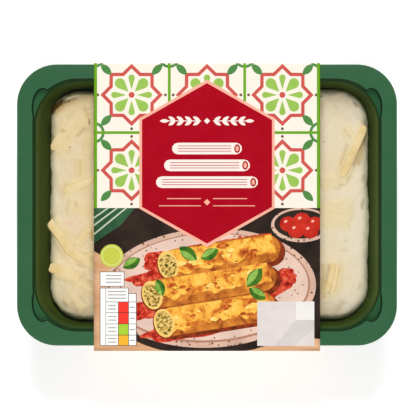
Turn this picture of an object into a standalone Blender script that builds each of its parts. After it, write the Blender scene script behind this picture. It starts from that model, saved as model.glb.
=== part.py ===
"""Chilled ready meal of cannelloni: pasta under white sauce and grated cheese, in a green plastic tray.

A clear film is sealed on the tray's rim and a printed card sleeve wraps the middle of the tray.
X runs along the tray, Y across it, Z up. The origin is on the floor at the centre of the pack.
"""

import math
import random

import bmesh
import bpy
from mathutils import Vector, noise

MM = 0.001

# Gap that keeps touching pieces apart
GAP = 0.3 * MM

# Card sleeve: a tube with a wide top and a narrower base
CARD = 0.4 * MM
SLEEVE_LENGTH = 113 * MM
SLEEVE_TOP_WIDTH = 144 * MM
SLEEVE_BASE_WIDTH = 117 * MM
SLEEVE_SHOULDER = 2.6 * MM
PACK_HEIGHT = 39 * MM
FOLD_RADIUS = 1.1 * MM
FOLD_STEPS = 5
GLUE_FLAP_HALF_WIDTH = 8 * MM
GLUE_FLAP_EDGE = 0.2 * MM

# Lid film
FILM = 0.1 * MM
FILM_INSET = 0.3 * MM
FILM_GAP = 0.2 * MM

# Tray
TRAY_HALF = (95.0 * MM, 70.3 * MM)
TRAY_CORNER = 20 * MM
TRAY_WALL = 0.7 * MM
TRAY_OFFSET_Y = 1.0 * MM
TRAY_FOOT_Z = CARD + GAP
RIM_Z = PACK_HEIGHT - CARD - FILM_GAP - FILM - FILM_GAP - 0.1 * MM
RIM_EDGE_ROUND = 0.2 * MM
MOUTH_HALF = (87.0 * MM, 63.0 * MM)
MOUTH_CORNER = 22 * MM
MOUTH_ROUND = 0.4 * MM
LEDGE_DEPTH = 2.5 * MM
LEDGE_WIDTH = 0.7 * MM
WALL_DRAFT = math.radians(15)
BASE_FILLET = 5 * MM
BASE_FILLET_STEPS = 4
CORNER_SHRINK = 0.4
PANEL_HALF = (62 * MM, 34 * MM)
PANEL_CORNER = 12 * MM
PANEL_RISE = 1.2 * MM
PANEL_SLOPE = 2 * MM

# Oval pocket at each corner of the mouth, which reaches a little outside it
POCKET_CENTRE = (82.0 * MM, 48.5 * MM)
POCKET_HALF = (5.4 * MM, 9.9 * MM)

# Food
FOOD_CENTRE = (1.2 * MM, 1.4 * MM)
FOOD_HALF = (80.4 * MM, 58.3 * MM)
FOOD_CORNER = 17 * MM
FOOD_TOP = 27 * MM
FOOD_SIDE_HEIGHTS = (8.5 * MM, 16 * MM)
FOOD_SHOULDER = 3.2 * MM
FOOD_SHOULDER_STEPS = 3
FOOD_RINGS = 12
TUBES = 4
TUBE_SAG = 2.2 * MM
LUMP_HEIGHT = 0.8 * MM
LUMP_SIZE = 16 * MM
EDGE_WOBBLE = 0.9 * MM
EDGE_WOBBLE_SIZE = 22 * MM
# Where the food's edge is pushed out or in: heading and spread in degrees, push in mm
EDGE_PUSHES = ((137, 6, -1.7), (147.5, 2.5, 1.1))

# Grated cheese: thick strips that lie half sunk in the sauce
STRIP_THICKNESS = 2.2 * MM
STRIP_SHOW = 0.55
STRIP_SEGMENTS = 5
STRIP_BEND = 0.04
STRIP_TAPER = 0.25
STRIP_CROWN = 0.8
HIDDEN_STRIPS = 26
HIDDEN_HALF = (47 * MM, 43 * MM)
HIDDEN_LENGTH = (13 * MM, 26 * MM)
HIDDEN_WIDTH = (3.4 * MM, 4.8 * MM)
HIDDEN_LIFT = (-0.4 * MM, 0.6 * MM)
SEED = 7
WELD = 0.001 * MM

# Strips that show beside the sleeve, in mm and degrees: x, y, length, width, heading, lift
SHOWN_STRIPS = (
    (-73.0, 35.2, 15, 7.0, 60, -0.1),
    (-65.5, 43.0, 13, 8.0, 48, -0.5),
    (-64.8, 10.9, 16, 4.2, 19, 0.1),
    (-73.6, -15.4, 20, 5.6, -56, 0.4),
    (-63.0, -26.2, 13, 5.2, -30, 0.1),
    (-62.8, -15.2, 12, 3.2, 48, 0.0),
    (-72.0, -33.0, 16, 5.6, -22, 0.6),
    (-60.5, -25.0, 8, 3.4, 15, 0.0),
    (-61.5, -40.0, 10, 3.0, -25, -0.3),
    (-66.5, -49.0, 9, 3.2, -38, -0.5),
    (73.9, 28.0, 28.2, 4.2, 66, 0.8),
    (65.5, -2.8, 13, 3.2, -9, -0.4),
    (65.0, -7.8, 11, 3.0, -3, -0.4),
    (62.1, -35.9, 15, 3.4, 75, 0.2),
    (64.9, -36.2, 13, 2.8, 79, 0.0),
)

# Rays from the tray's centre: one list per quadrant, close together where the corners are
SIDE_RAYS = (0, 9, 18, 24)
CORNER_RAYS = (26, 45, 22)
END_RAYS = (48, 56, 68, 80)


def quadrant_rays():
    """Angles from 0 up to 90 degrees, without 90 itself."""
    first, last, count = CORNER_RAYS
    corner = [first + (last - first) * i / (count - 1) for i in range(count)]
    return [*SIDE_RAYS, *corner, *END_RAYS]


def all_rays():
    """The angles of one full turn, mirrored so that all four corners are alike."""
    quarter = quadrant_rays()
    mirrored = [180 - a for a in reversed(quarter[1:])]
    half = [*quarter, 90, *mirrored]
    return [math.radians(a) for a in half + [a + 180 for a in half]]


RAYS = all_rays()


def rounded_hit(angle, half, radius):
    """How far from the centre a ray meets a rectangle with round corners."""
    c, s = abs(math.cos(angle)), abs(math.sin(angle))
    if c > 0 and half[0] * s / c <= half[1] - radius:
        return half[0] / c
    if s > 0 and half[1] * c / s <= half[0] - radius:
        return half[1] / s
    x, y = half[0] - radius, half[1] - radius
    along = c * x + s * y
    return along + math.sqrt(along * along + radius * radius - x * x - y * y)


def grown(half, by):
    return (half[0] + by, half[1] + by)


def direction(angle):
    """The level direction at this angle from X."""
    return Vector((math.cos(angle), math.sin(angle), 0))


def loop_at(z, hit, centre=(0.0, TRAY_OFFSET_Y)):
    """One closed loop of points at one height, by how far each ray from the centre reaches."""
    middle = Vector((*centre, z))
    return [middle + hit(angle) * direction(angle) for angle in RAYS]


def rounded_loop(z, half, radius):
    return loop_at(z, lambda angle: rounded_hit(angle, half, radius))


def pocket_hit(angle, half):
    """How far the far side of the corner's oval pocket is along a ray, or 0 where the ray misses it."""
    dx, dy = abs(math.cos(angle)) / half[0], abs(math.sin(angle)) / half[1]
    x, y = POCKET_CENTRE[0] / half[0], POCKET_CENTRE[1] / half[1]
    along = dx * x + dy * y
    size = dx * dx + dy * dy
    inside = along * along - size * (x * x + y * y - 1)
    return (along + math.sqrt(inside)) / size if inside > 0 else 0.0


def mouth_hit(angle, by):
    """How far the mouth reaches with its corner pockets, all moved outwards by this much."""
    mouth = rounded_hit(angle, grown(MOUTH_HALF, by), MOUTH_CORNER + by)
    return max(mouth, pocket_hit(angle, grown(POCKET_HALF, by)))


def mouth_loop(z, by):
    return loop_at(z, lambda angle: mouth_hit(angle, by))


def mesh_from_loops(name, loops, peak=None):
    """A closed mesh through loops of equal length, capped flat or drawn to a peak at the last."""
    bm = bmesh.new()
    rings = [[bm.verts.new(p) for p in loop] for loop in loops]
    count = len(rings[0])
    for low, high in zip(rings, rings[1:]):
        for i in range(count):
            j = (i + 1) % count
            bm.faces.new((low[i], low[j], high[j], high[i]))
    bm.faces.new(list(reversed(rings[0])))
    if peak is None:
        bm.faces.new(rings[-1])
    else:
        tip = bm.verts.new(peak)
        for i in range(count):
            bm.faces.new((rings[-1][i], rings[-1][(i + 1) % count], tip))
    bmesh.ops.recalc_face_normals(bm, faces=bm.faces)
    mesh = bpy.data.meshes.new(name)
    bm.to_mesh(mesh)
    bm.free()
    return mesh


def make_material(name, colour, roughness, alpha=1.0):
    material = bpy.data.materials.new(name)
    material.use_nodes = True
    shader = material.node_tree.nodes["Principled BSDF"]
    shader.inputs["Base Color"].default_value = (*colour, 1.0)
    shader.inputs["Roughness"].default_value = roughness
    shader.inputs["Alpha"].default_value = alpha
    return material


def add_object(name, mesh, material, sharp_degrees=30):
    mesh.shade_smooth()
    mesh.set_sharp_from_angle(angle=math.radians(sharp_degrees))
    mesh.materials.append(material)
    obj = bpy.data.objects.new(name, mesh)
    bpy.context.scene.collection.objects.link(obj)
    return obj


# Inner face of the tray's wall, measured down from the ledge
LEDGE_Z = RIM_Z - LEDGE_DEPTH
WALL_TOP_HALF = grown(MOUTH_HALF, -LEDGE_WIDTH)


def wall_section(z, out=0.0):
    """Half sizes and corner radius of the wall's inner face at a height, moved outwards by out."""
    inset = (LEDGE_Z - z) * math.tan(WALL_DRAFT)
    return grown(WALL_TOP_HALF, out - inset), MOUTH_CORNER - CORNER_SHRINK * inset + out


def fillet_loops(floor_z, radius, out):
    """Loops of the round edge between the tray's base and its wall, from the base up."""
    centre_z = floor_z + radius
    half, corner = wall_section(centre_z, out)
    back = radius / math.cos(WALL_DRAFT)
    loops = []
    for i in range(BASE_FILLET_STEPS + 1):
        turn = (math.radians(90) - WALL_DRAFT) * i / BASE_FILLET_STEPS - math.radians(90)
        out_by = radius * math.cos(turn) - back
        z = centre_z + radius * math.sin(turn)
        loops.append(rounded_loop(z, grown(half, out_by), corner + out_by))
    return loops


def base_loops(floor_z, out):
    """Loops of the raised panel in the base, from its middle outwards."""
    return [
        rounded_loop(floor_z + PANEL_RISE, grown(PANEL_HALF, out), PANEL_CORNER),
        rounded_loop(floor_z, grown(PANEL_HALF, out + PANEL_SLOPE), PANEL_CORNER + PANEL_SLOPE),
    ]


def tray_mesh():
    """The tray's shell: up its inner face, over the rim and down its outer face."""
    inner_floor = TRAY_FOOT_Z + TRAY_WALL
    top_half, top_corner = wall_section(LEDGE_Z)
    under_half, under_corner = wall_section(LEDGE_Z, TRAY_WALL)
    inner = [
        *base_loops(inner_floor, 0.0),
        *fillet_loops(inner_floor, BASE_FILLET, 0.0),
        rounded_loop(LEDGE_Z, top_half, top_corner),
        mouth_loop(LEDGE_Z, 0.0),
        mouth_loop(RIM_Z - MOUTH_ROUND, 0.0),
        mouth_loop(RIM_Z, MOUTH_ROUND),
    ]
    rim = [
        rounded_loop(RIM_Z, grown(TRAY_HALF, -RIM_EDGE_ROUND), TRAY_CORNER - RIM_EDGE_ROUND),
        rounded_loop(RIM_Z - RIM_EDGE_ROUND, TRAY_HALF, TRAY_CORNER),
        rounded_loop(RIM_Z - TRAY_WALL, TRAY_HALF, TRAY_CORNER),
    ]
    outer = [
        mouth_loop(RIM_Z - TRAY_WALL, TRAY_WALL + MOUTH_ROUND),
        mouth_loop(RIM_Z - TRAY_WALL - MOUTH_ROUND, TRAY_WALL),
        mouth_loop(LEDGE_Z - TRAY_WALL, TRAY_WALL),
        rounded_loop(LEDGE_Z - TRAY_WALL, under_half, under_corner),
        *reversed(fillet_loops(TRAY_FOOT_Z, BASE_FILLET + TRAY_WALL, TRAY_WALL)),
        *reversed(base_loops(TRAY_FOOT_Z, -TRAY_WALL)),
    ]
    return mesh_from_loops("tray", [*inner, *rim, *outer])


def film_mesh():
    """The clear film, flat on the rim and a little smaller than it."""
    low = RIM_Z + FILM_GAP
    half = grown(TRAY_HALF, -FILM_INSET)
    corner = TRAY_CORNER - FILM_INSET
    loops = [rounded_loop(low, half, corner), rounded_loop(low + FILM, half, corner)]
    return mesh_from_loops("lid_film", loops)


def fold_arc(before, corner, after, inset):
    """Points of the arc between two straight runs, on the skin moved inwards by inset."""
    to_before = (before - corner).normalized()
    to_after = (after - corner).normalized()
    half_angle = to_before.angle(to_after) / 2
    centre = corner + (to_before + to_after).normalized() * (FOLD_RADIUS / math.sin(half_angle))
    reach = FOLD_RADIUS / math.tan(half_angle)
    start = corner + to_before * reach - centre
    end = corner + to_after * reach - centre
    radius = FOLD_RADIUS - inset
    return [centre + radius * start.slerp(end, i / FOLD_STEPS) for i in range(FOLD_STEPS + 1)]


def sleeve_corners():
    """Corners of the sleeve's section, from the base's +Y side up and round to its -Y side."""
    side = [
        Vector((SLEEVE_BASE_WIDTH / 2, 0)),
        Vector((SLEEVE_TOP_WIDTH / 2, PACK_HEIGHT - SLEEVE_SHOULDER)),
        Vector((SLEEVE_TOP_WIDTH / 2, PACK_HEIGHT)),
    ]
    return side + [Vector((-p.x, p.y)) for p in reversed(side)]


def sleeve_section(inset):
    """The sleeve's section as points (y, z), with the glue flap's edges marked on the base."""
    corners = sleeve_corners()
    points = []
    for i, corner in enumerate(corners):
        points += fold_arc(corners[i - 1], corner, corners[(i + 1) % len(corners)], inset)
    flap_z = 2 * CARD if inset else 0.0
    inner_edge = GLUE_FLAP_HALF_WIDTH - GLUE_FLAP_EDGE
    return points + [
        Vector((-GLUE_FLAP_HALF_WIDTH, inset)),
        Vector((-inner_edge, flap_z)),
        Vector((inner_edge, flap_z)),
        Vector((GLUE_FLAP_HALF_WIDTH, inset)),
    ]


def sleeve_mesh():
    """The card tube, open at both ends, with its glue flap inside the base."""
    bm = bmesh.new()
    sections = (sleeve_section(0.0), sleeve_section(CARD))
    ends = (-SLEEVE_LENGTH / 2, SLEEVE_LENGTH / 2)
    rings = [[[bm.verts.new((x, p.x, p.y)) for p in section] for x in ends] for section in sections]
    count = len(sections[0])
    for i in range(count):
        j = (i + 1) % count
        for ring in rings:
            bm.faces.new((ring[0][i], ring[0][j], ring[1][j], ring[1][i]))
        for end in range(2):
            bm.faces.new((rings[0][end][i], rings[0][end][j], rings[1][end][j], rings[1][end][i]))
    bmesh.ops.recalc_face_normals(bm, faces=bm.faces)
    mesh = bpy.data.meshes.new("sleeve")
    bm.to_mesh(mesh)
    bm.free()
    return mesh


def top_height(x, y):
    """Height of the sauce: soft humps of the row of tubes under it, with small lumps."""
    pitch = 2 * FOOD_HALF[0] / TUBES
    across = 2 * (((x - FOOD_CENTRE[0] + FOOD_HALF[0]) / pitch) % 1.0) - 1
    lumps = noise.noise(Vector((x / LUMP_SIZE, y / LUMP_SIZE, 0.5)))
    return FOOD_TOP - TUBE_SAG * across**4 + LUMP_HEIGHT * lumps


def food_hit(angle, inset=0.0):
    """How far the food reaches from its own centre: a rounded rectangle with an uneven edge."""
    wobble = noise.noise(direction(angle) * (FOOD_HALF[0] / EDGE_WOBBLE_SIZE))
    reach = rounded_hit(angle, grown(FOOD_HALF, EDGE_WOBBLE * wobble - inset), FOOD_CORNER - inset)
    for heading, spread, push in EDGE_PUSHES:
        off = (math.degrees(angle) - heading) / spread
        reach += push * MM * math.exp(-off * off)
    return reach


def kept_in_tray(point):
    """The point, drawn in towards the tray's centre where it would touch the wall."""
    x, y = point.x, point.y - TRAY_OFFSET_Y
    half, corner = wall_section(point.z, -GAP)
    reach = rounded_hit(math.atan2(y, x), half, corner)
    share = min(1.0, reach / math.hypot(x, y))
    return Vector((x * share, y * share + TRAY_OFFSET_Y, point.z))


def side_loop(z):
    """The food's side, nearly upright and kept inside the tray's sloping wall."""
    return [kept_in_tray(p) for p in loop_at(z, food_hit, FOOD_CENTRE)]


def lifted_loop(share, inset, drop):
    """A loop at this share of the way from the centre to the food's edge, laid on the top surface."""
    loop = loop_at(FOOD_TOP, lambda angle: share * food_hit(angle, inset), FOOD_CENTRE)
    for point in loop:
        point.z = top_height(point.x, point.y) - drop
    return [kept_in_tray(p) for p in loop]


def food_core_mesh():
    """The block of sauced pasta, from its base up its sides and over its uneven top."""
    low = TRAY_FOOT_Z + TRAY_WALL + GAP
    panel_top, panel_foot = base_loops(low, GAP)
    base = fillet_loops(low, BASE_FILLET - GAP, -GAP)
    loops = [panel_top, panel_foot, base[0], base[BASE_FILLET_STEPS // 2]]
    loops += [side_loop(z) for z in FOOD_SIDE_HEIGHTS]
    for i in range(FOOD_SHOULDER_STEPS):
        turn = math.radians(90) * i / FOOD_SHOULDER_STEPS
        inset = FOOD_SHOULDER * (1 - math.cos(turn))
        drop = FOOD_SHOULDER * (1 - math.sin(turn))
        loops.append(lifted_loop(1.0, inset, drop))
    for i in range(FOOD_RINGS):
        loops.append(lifted_loop(1 - i / FOOD_RINGS, FOOD_SHOULDER, 0.0))
    peak = Vector((*FOOD_CENTRE, top_height(*FOOD_CENTRE)))
    return mesh_from_loops("cannelloni", loops, peak)


def strip_mesh(x, y, length, width, heading, lift):
    """One strip of cheese as a bent bar that follows the sauce under it."""
    along = direction(heading)
    side = direction(heading + math.pi / 2)
    loops = []
    for i in range(STRIP_SEGMENTS + 1):
        t = i / STRIP_SEGMENTS - 0.5
        end = 1 - STRIP_TAPER * (2 * abs(t)) ** 4
        bend = STRIP_BEND * length * (4 * t * t - 0.5)
        middle = Vector((x, y, 0)) + along * (t * length) + side * bend
        bottom = top_height(middle.x, middle.y) + lift - STRIP_THICKNESS * (1 - STRIP_SHOW)
        half = side * (width * end / 2)
        rise = Vector((0, 0, STRIP_THICKNESS * end))
        middle.z = bottom
        crown = half * STRIP_CROWN
        loops.append([middle - half, middle + half, middle + crown + rise, middle - crown + rise])
    return mesh_from_loops("strip", loops)


def hidden_strips(rng):
    """Strips that the sleeve covers, spread by a seeded draw."""
    strips = []
    for _ in range(HIDDEN_STRIPS):
        x = rng.uniform(-HIDDEN_HALF[0], HIDDEN_HALF[0])
        y = rng.uniform(-HIDDEN_HALF[1], HIDDEN_HALF[1])
        length = rng.uniform(*HIDDEN_LENGTH)
        width = rng.uniform(*HIDDEN_WIDTH)
        heading = rng.uniform(0, math.pi)
        strips.append((x, y, length, width, heading, rng.uniform(*HIDDEN_LIFT)))
    return strips


def shown_strips():
    """The strips that show, in metres and radians."""
    strips = []
    for x, y, length, width, heading, lift in SHOWN_STRIPS:
        strips.append((x * MM, y * MM, length * MM, width * MM, math.radians(heading), lift * MM))
    return strips


def keep_largest_shell(mesh):
    """Fill the small pockets shut in between crossing strips, so that one outer skin is left."""
    bm = bmesh.new()
    bm.from_mesh(mesh)
    bmesh.ops.remove_doubles(bm, verts=bm.verts, dist=WELD)
    left = set(bm.verts)
    shells = []
    while left:
        shell = {left.pop()}
        front = list(shell)
        while front:
            vert = front.pop()
            for edge in vert.link_edges:
                other = edge.other_vert(vert)
                if other not in shell:
                    shell.add(other)
                    front.append(other)
        left -= shell
        shells.append(shell)
    shells.sort(key=len)
    for shell in shells[:-1]:
        bmesh.ops.delete(bm, geom=list(shell), context="VERTS")
    bm.to_mesh(mesh)
    bm.free()


def add_food(material):
    """The food's block with every strip of cheese joined to it in one solid."""
    food = add_object("cannelloni", food_core_mesh(), material)
    collection = bpy.data.collections.new("strips")
    bpy.context.scene.collection.children.link(collection)
    for strip in [*shown_strips(), *hidden_strips(random.Random(SEED))]:
        obj = bpy.data.objects.new("strip", strip_mesh(*strip))
        collection.objects.link(obj)
    union = food.modifiers.new("join strips", "BOOLEAN")
    union.operation = "UNION"
    union.operand_type = "COLLECTION"
    union.collection = collection
    union.solver = "EXACT"
    bpy.context.view_layer.update()
    graph = bpy.context.evaluated_depsgraph_get()
    joined = bpy.data.meshes.new_from_object(food.evaluated_get(graph), depsgraph=graph)
    food.modifiers.clear()
    food.data = joined
    keep_largest_shell(joined)
    for obj in list(collection.objects):
        bpy.data.objects.remove(obj, do_unlink=True)
    bpy.data.collections.remove(collection)
    return food


def main():
    for obj in list(bpy.data.objects):
        bpy.data.objects.remove(obj, do_unlink=True)
    green = make_material("green_plastic", (0.038, 0.135, 0.063), 0.45)
    film = make_material("clear_film", (0.95, 0.97, 0.96), 0.08, alpha=0.12)
    card = make_material("printed_card", (0.90, 0.84, 0.76), 0.5)
    sauce = make_material("white_sauce", (0.80, 0.65, 0.42), 0.4)
    add_object("tray", tray_mesh(), green)
    add_object("lid_film", film_mesh(), film)
    add_object("sleeve", sleeve_mesh(), card)
    add_food(sauce)


main()
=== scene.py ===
"""Looks of a chilled cannelloni meal: tray, sauced pasta, grated cheese, clear film and printed sleeve."""

import math
import random

import bmesh
import bpy
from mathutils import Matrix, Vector, geometry, noise


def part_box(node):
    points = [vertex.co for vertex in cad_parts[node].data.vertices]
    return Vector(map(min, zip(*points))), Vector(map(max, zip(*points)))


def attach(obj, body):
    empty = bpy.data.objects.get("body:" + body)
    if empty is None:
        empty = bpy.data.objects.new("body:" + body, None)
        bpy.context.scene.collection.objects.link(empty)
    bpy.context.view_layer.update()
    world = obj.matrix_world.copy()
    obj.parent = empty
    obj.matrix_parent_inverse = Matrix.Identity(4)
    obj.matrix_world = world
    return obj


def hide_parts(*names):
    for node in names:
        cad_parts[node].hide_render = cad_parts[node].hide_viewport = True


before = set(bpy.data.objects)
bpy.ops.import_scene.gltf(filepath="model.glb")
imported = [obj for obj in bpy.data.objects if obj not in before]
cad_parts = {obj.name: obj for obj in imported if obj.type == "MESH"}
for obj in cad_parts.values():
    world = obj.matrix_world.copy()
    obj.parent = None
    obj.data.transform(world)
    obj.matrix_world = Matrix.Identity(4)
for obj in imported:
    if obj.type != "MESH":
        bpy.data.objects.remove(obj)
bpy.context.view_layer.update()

MM = 0.001
SEED = 7

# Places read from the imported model
TRAY_LOW, TRAY_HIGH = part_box("tray")
FOOD_FLOOR_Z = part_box("cannelloni")[0].z
FILM_LOW, FILM_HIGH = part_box("lid_film")
SLEEVE_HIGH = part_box("sleeve")[1]

# Tray, with the same outlines as its solid
TRAY_CENTRE = ((TRAY_LOW.x + TRAY_HIGH.x) / 2, (TRAY_LOW.y + TRAY_HIGH.y) / 2)
TRAY_HALF = ((TRAY_HIGH.x - TRAY_LOW.x) / 2, (TRAY_HIGH.y - TRAY_LOW.y) / 2)
TRAY_FOOT_Z = TRAY_LOW.z
RIM_Z = TRAY_HIGH.z
TRAY_CORNER = 20 * MM
TRAY_WALL = 0.7 * MM
MOUTH_HALF = (TRAY_HALF[0] - 8.0 * MM, TRAY_HALF[1] - 7.3 * MM)
MOUTH_CORNER = 22 * MM
MOUTH_ROUND = 0.3 * MM
STEP_LEAN = 0.5 * MM
LEDGE_Z = RIM_Z - 2.5 * MM
LEDGE_WIDTH = 0.7 * MM
LEDGE_ROUND = 0.3 * MM
LEDGE_EDGE = 0.42 * MM
LEDGE_FOOT = 0.15 * MM
RIM_ROUND = 0.25 * MM
WALL_DRAFT = math.radians(15)
BASE_FILLET = 5 * MM
CORNER_SHRINK = 0.4
PANEL_HALF = (62 * MM, 34 * MM)
PANEL_INSET = 20 * MM
PANEL_CORNER = 12 * MM
PANEL_RISE = 1.2 * MM
PANEL_SLOPE = 2 * MM
POCKET_CENTRE = (82.0 * MM, 48.5 * MM)
POCKET_HALF = (5.4 * MM, 9.9 * MM)
ROUND_STEPS = 6


def clamped(value):
    """The value, kept between 0 and 1."""
    return min(1.0, max(0.0, value))


def linear(value):
    """One sRGB channel from 0 to 255 as linear light."""
    share = value / 255
    return share / 12.92 if share <= 0.04045 else ((share + 0.055) / 1.055) ** 2.4


def ink(red, green, blue):
    """An sRGB colour from 0 to 255 as the linear colour that a shader takes."""
    return (linear(red), linear(green), linear(blue), 1.0)


class Look:
    """A Principled material whose nodes are added one by one."""

    def __init__(self, name, specular=0.4, roughness=0.42):
        self.material = bpy.data.materials.new(name)
        self.material.use_nodes = True
        self.nodes = self.material.node_tree.nodes
        self.shader = self.nodes["Principled BSDF"]
        self.join(roughness, self.shader.inputs["Roughness"])
        self.join(specular, self.shader.inputs["Specular IOR Level"])
        self.place = self.add("TexCoord").outputs["Object"]

    def join(self, value, socket):
        """Give an input a value of its own, or the value of another node's socket."""
        if isinstance(value, bpy.types.NodeSocket):
            self.material.node_tree.links.new(value, socket)
        else:
            socket.default_value = value

    def add(self, kind, **values):
        """A node with its inputs filled in by name, where From_Min stands for From Min."""
        node = self.nodes.new("ShaderNode" + kind)
        for name, value in values.items():
            self.join(value, node.inputs[name.replace("_", " ")])
        return node

    def stretched(self, scale, turn):
        """Object coordinates scaled by three factors and turned about Z."""
        return self.add("Mapping", Scale=scale, Rotation=(0, 0, turn), Vector=self.place).outputs["Vector"]

    def noise(self, size, **values):
        """Noise whose blobs are about this size in metres."""
        return self.add("TexNoise", **{"Scale": 1 / size, "Vector": self.place, **values}).outputs["Fac"]

    def cells(self, size):
        """Distance to the nearest of scattered points, in cells of about this size in metres."""
        return self.add("TexVoronoi", Scale=1 / size, Vector=self.place).outputs["Distance"]

    def painted(self, name):
        """A value that the mesh carries at each point."""
        node = self.add("Attribute")
        node.attribute_name = name
        return node.outputs["Fac"]

    def calculated(self, operation, *values):
        node = self.add("Math")
        node.operation = operation
        for value, socket in zip(values, node.inputs):
            self.join(value, socket)
        return node.outputs["Value"]

    def along(self, axis, low, high, both_ways=False):
        """How far a point is from low to high along an axis, from 0 to 1, or both ways from the middle."""
        value = self.add("SeparateXYZ", Vector=self.place).outputs[axis]
        if both_ways:
            value = self.calculated("ABSOLUTE", value)
        return self.remap(value, low, high)

    def remap(self, value, low, high, to_low=0.0, to_high=1.0):
        limits = {"From_Min": low, "From_Max": high, "To_Min": to_low, "To_Max": to_high}
        return self.add("MapRange", Value=value, **limits).outputs["Result"]

    def ramp(self, value, *stops):
        """A colour for each value, from stops that each give a position and an sRGB colour."""
        node = self.add("ValToRGB", Fac=value)
        marks = node.color_ramp.elements
        while len(marks) < len(stops):
            marks.new(1.0)
        for mark, (position, *colour) in zip(marks, stops):
            mark.position = position
            mark.color = ink(*colour)
        return node.outputs["Color"]

    def mix(self, share, first, second):
        """Second over first, by a share from 0 to 1. Each is a socket or a linear colour."""
        node = self.add("Mix", Factor=share)
        node.data_type = "RGBA"
        colours = [socket for socket in node.inputs if socket.type == "RGBA"]
        self.join(first, colours[0])
        self.join(second, colours[1])
        return next(socket for socket in node.outputs if socket.type == "RGBA")

    def colour(self, value):
        self.join(value, self.shader.inputs["Base Color"])
        return self

    def rough(self, value, low, high):
        """Roughness that varies between two values with a pattern."""
        self.join(self.remap(value, 0.3, 0.7, low, high), self.shader.inputs["Roughness"])
        return self

    def bump(self, value, depth):
        """Fine relief of this depth in metres."""
        node = self.add("Bump", Strength=1.0, Distance=depth, Height=value)
        self.join(node.outputs["Normal"], self.shader.inputs["Normal"])
        return self


# Outlines of the tray


def rounded_hit(angle, half, radius):
    """How far from the centre a ray meets a rectangle with round corners."""
    c, s = abs(math.cos(angle)), abs(math.sin(angle))
    if c > 0 and half[0] * s / c <= half[1] - radius:
        return half[0] / c
    if s > 0 and half[1] * c / s <= half[0] - radius:
        return half[1] / s
    x, y = half[0] - radius, half[1] - radius
    along = c * x + s * y
    return along + math.sqrt(along * along + radius * radius - x * x - y * y)


def grown(half, by):
    return (half[0] + by, half[1] + by)


def direction(angle):
    return Vector((math.cos(angle), math.sin(angle), 0))


def polar(x, y, centre):
    """The heading and the distance of a point from a centre."""
    dx, dy = x - centre[0], y - centre[1]
    return math.atan2(dy, dx), math.hypot(dx, dy)


def full_turn(quarter):
    """Ray angles of a full turn, from those of its first quarter in degrees without 90."""
    half = [*quarter, 90, *[180 - a for a in reversed(quarter[1:])]]
    return [math.radians(a) for a in half + [a + 180 for a in half]]


def steps(first, last, count):
    """Evenly spaced values from first to last, both included."""
    return [first + (last - first) * i / (count - 1) for i in range(count)]


# Rays from the centre, closer together round the tray's corners and on the ends of the food
TRAY_RAYS = full_turn([*steps(0, 24, 7), *steps(25, 45, 61), *steps(48, 87, 10)])
FOOD_RAYS = full_turn([*steps(0, 44, 111), *steps(46, 88, 18)])
# Rings of the food's top as shares of the way out, closer together where it shows
TOP_SHARES = [*steps(0.994, 0.66, 60), *steps(0.64, 0.04, 26)]


def loop_at(rays, z, hit, centre=TRAY_CENTRE):
    """One closed loop of points at one height, by how far each ray from the centre reaches."""
    middle = Vector((*centre, z))
    return [middle + hit(angle) * direction(angle) for angle in rays]


def rounded_loop(z, half, radius, rays=TRAY_RAYS):
    return loop_at(rays, z, lambda angle: rounded_hit(angle, half, radius))


def pocket_hit(angle, half):
    """How far the far side of the corner's oval pocket is along a ray, or 0 where the ray misses it."""
    dx, dy = abs(math.cos(angle)) / half[0], abs(math.sin(angle)) / half[1]
    x, y = POCKET_CENTRE[0] / half[0], POCKET_CENTRE[1] / half[1]
    along = dx * x + dy * y
    size = dx * dx + dy * dy
    inside = along * along - size * (x * x + y * y - 1)
    return (along + math.sqrt(inside)) / size if inside > 0 else 0.0


def mouth_hit(angle, by):
    """How far the mouth reaches with its corner pockets, all moved outwards by this much."""
    mouth = rounded_hit(angle, grown(MOUTH_HALF, by), MOUTH_CORNER + by)
    return max(mouth, pocket_hit(angle, grown(POCKET_HALF, by)))


def mouth_loop(z, by):
    return loop_at(TRAY_RAYS, z, lambda angle: mouth_hit(angle, by))


def wall_section(z, out=0.0):
    """Half sizes and corner radius of the wall's inner face at a height, moved outwards by out."""
    inset = (LEDGE_Z - z) * math.tan(WALL_DRAFT)
    half = grown(grown(MOUTH_HALF, -LEDGE_WIDTH), out - inset)
    return half, MOUTH_CORNER - CORNER_SHRINK * inset + out


def wall_loop(z, out=0.0):
    return rounded_loop(z, *wall_section(z, out))


def base_fillet(floor_z, radius, out, rays=TRAY_RAYS):
    """Loops of the round edge between a base and its wall, from the base up."""
    centre_z = floor_z + radius
    half, corner = wall_section(centre_z, out)
    back = radius / math.cos(WALL_DRAFT)
    loops = []
    for turn in steps(math.radians(-90), -WALL_DRAFT, ROUND_STEPS + 1):
        by = radius * math.cos(turn) - back
        z = centre_z + radius * math.sin(turn)
        loops.append(rounded_loop(z, grown(half, by), corner + by, rays))
    return loops


def base_panel(floor_z, out, rays=TRAY_RAYS):
    """Loops of the raised panel in the base, from its middle out to the foot of its soft slope."""
    top = floor_z + PANEL_RISE
    loops = [rounded_loop(top, grown(PANEL_HALF, -PANEL_INSET), PANEL_CORNER / 2, rays)]
    for share in steps(0.0, 1.0, ROUND_STEPS):
        fall = PANEL_RISE * (0.5 - 0.5 * math.cos(math.pi * share))
        by = out + PANEL_SLOPE * share
        loops.append(rounded_loop(top - fall, grown(PANEL_HALF, by), PANEL_CORNER + by, rays))
    return loops


# Mesh helpers


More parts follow.
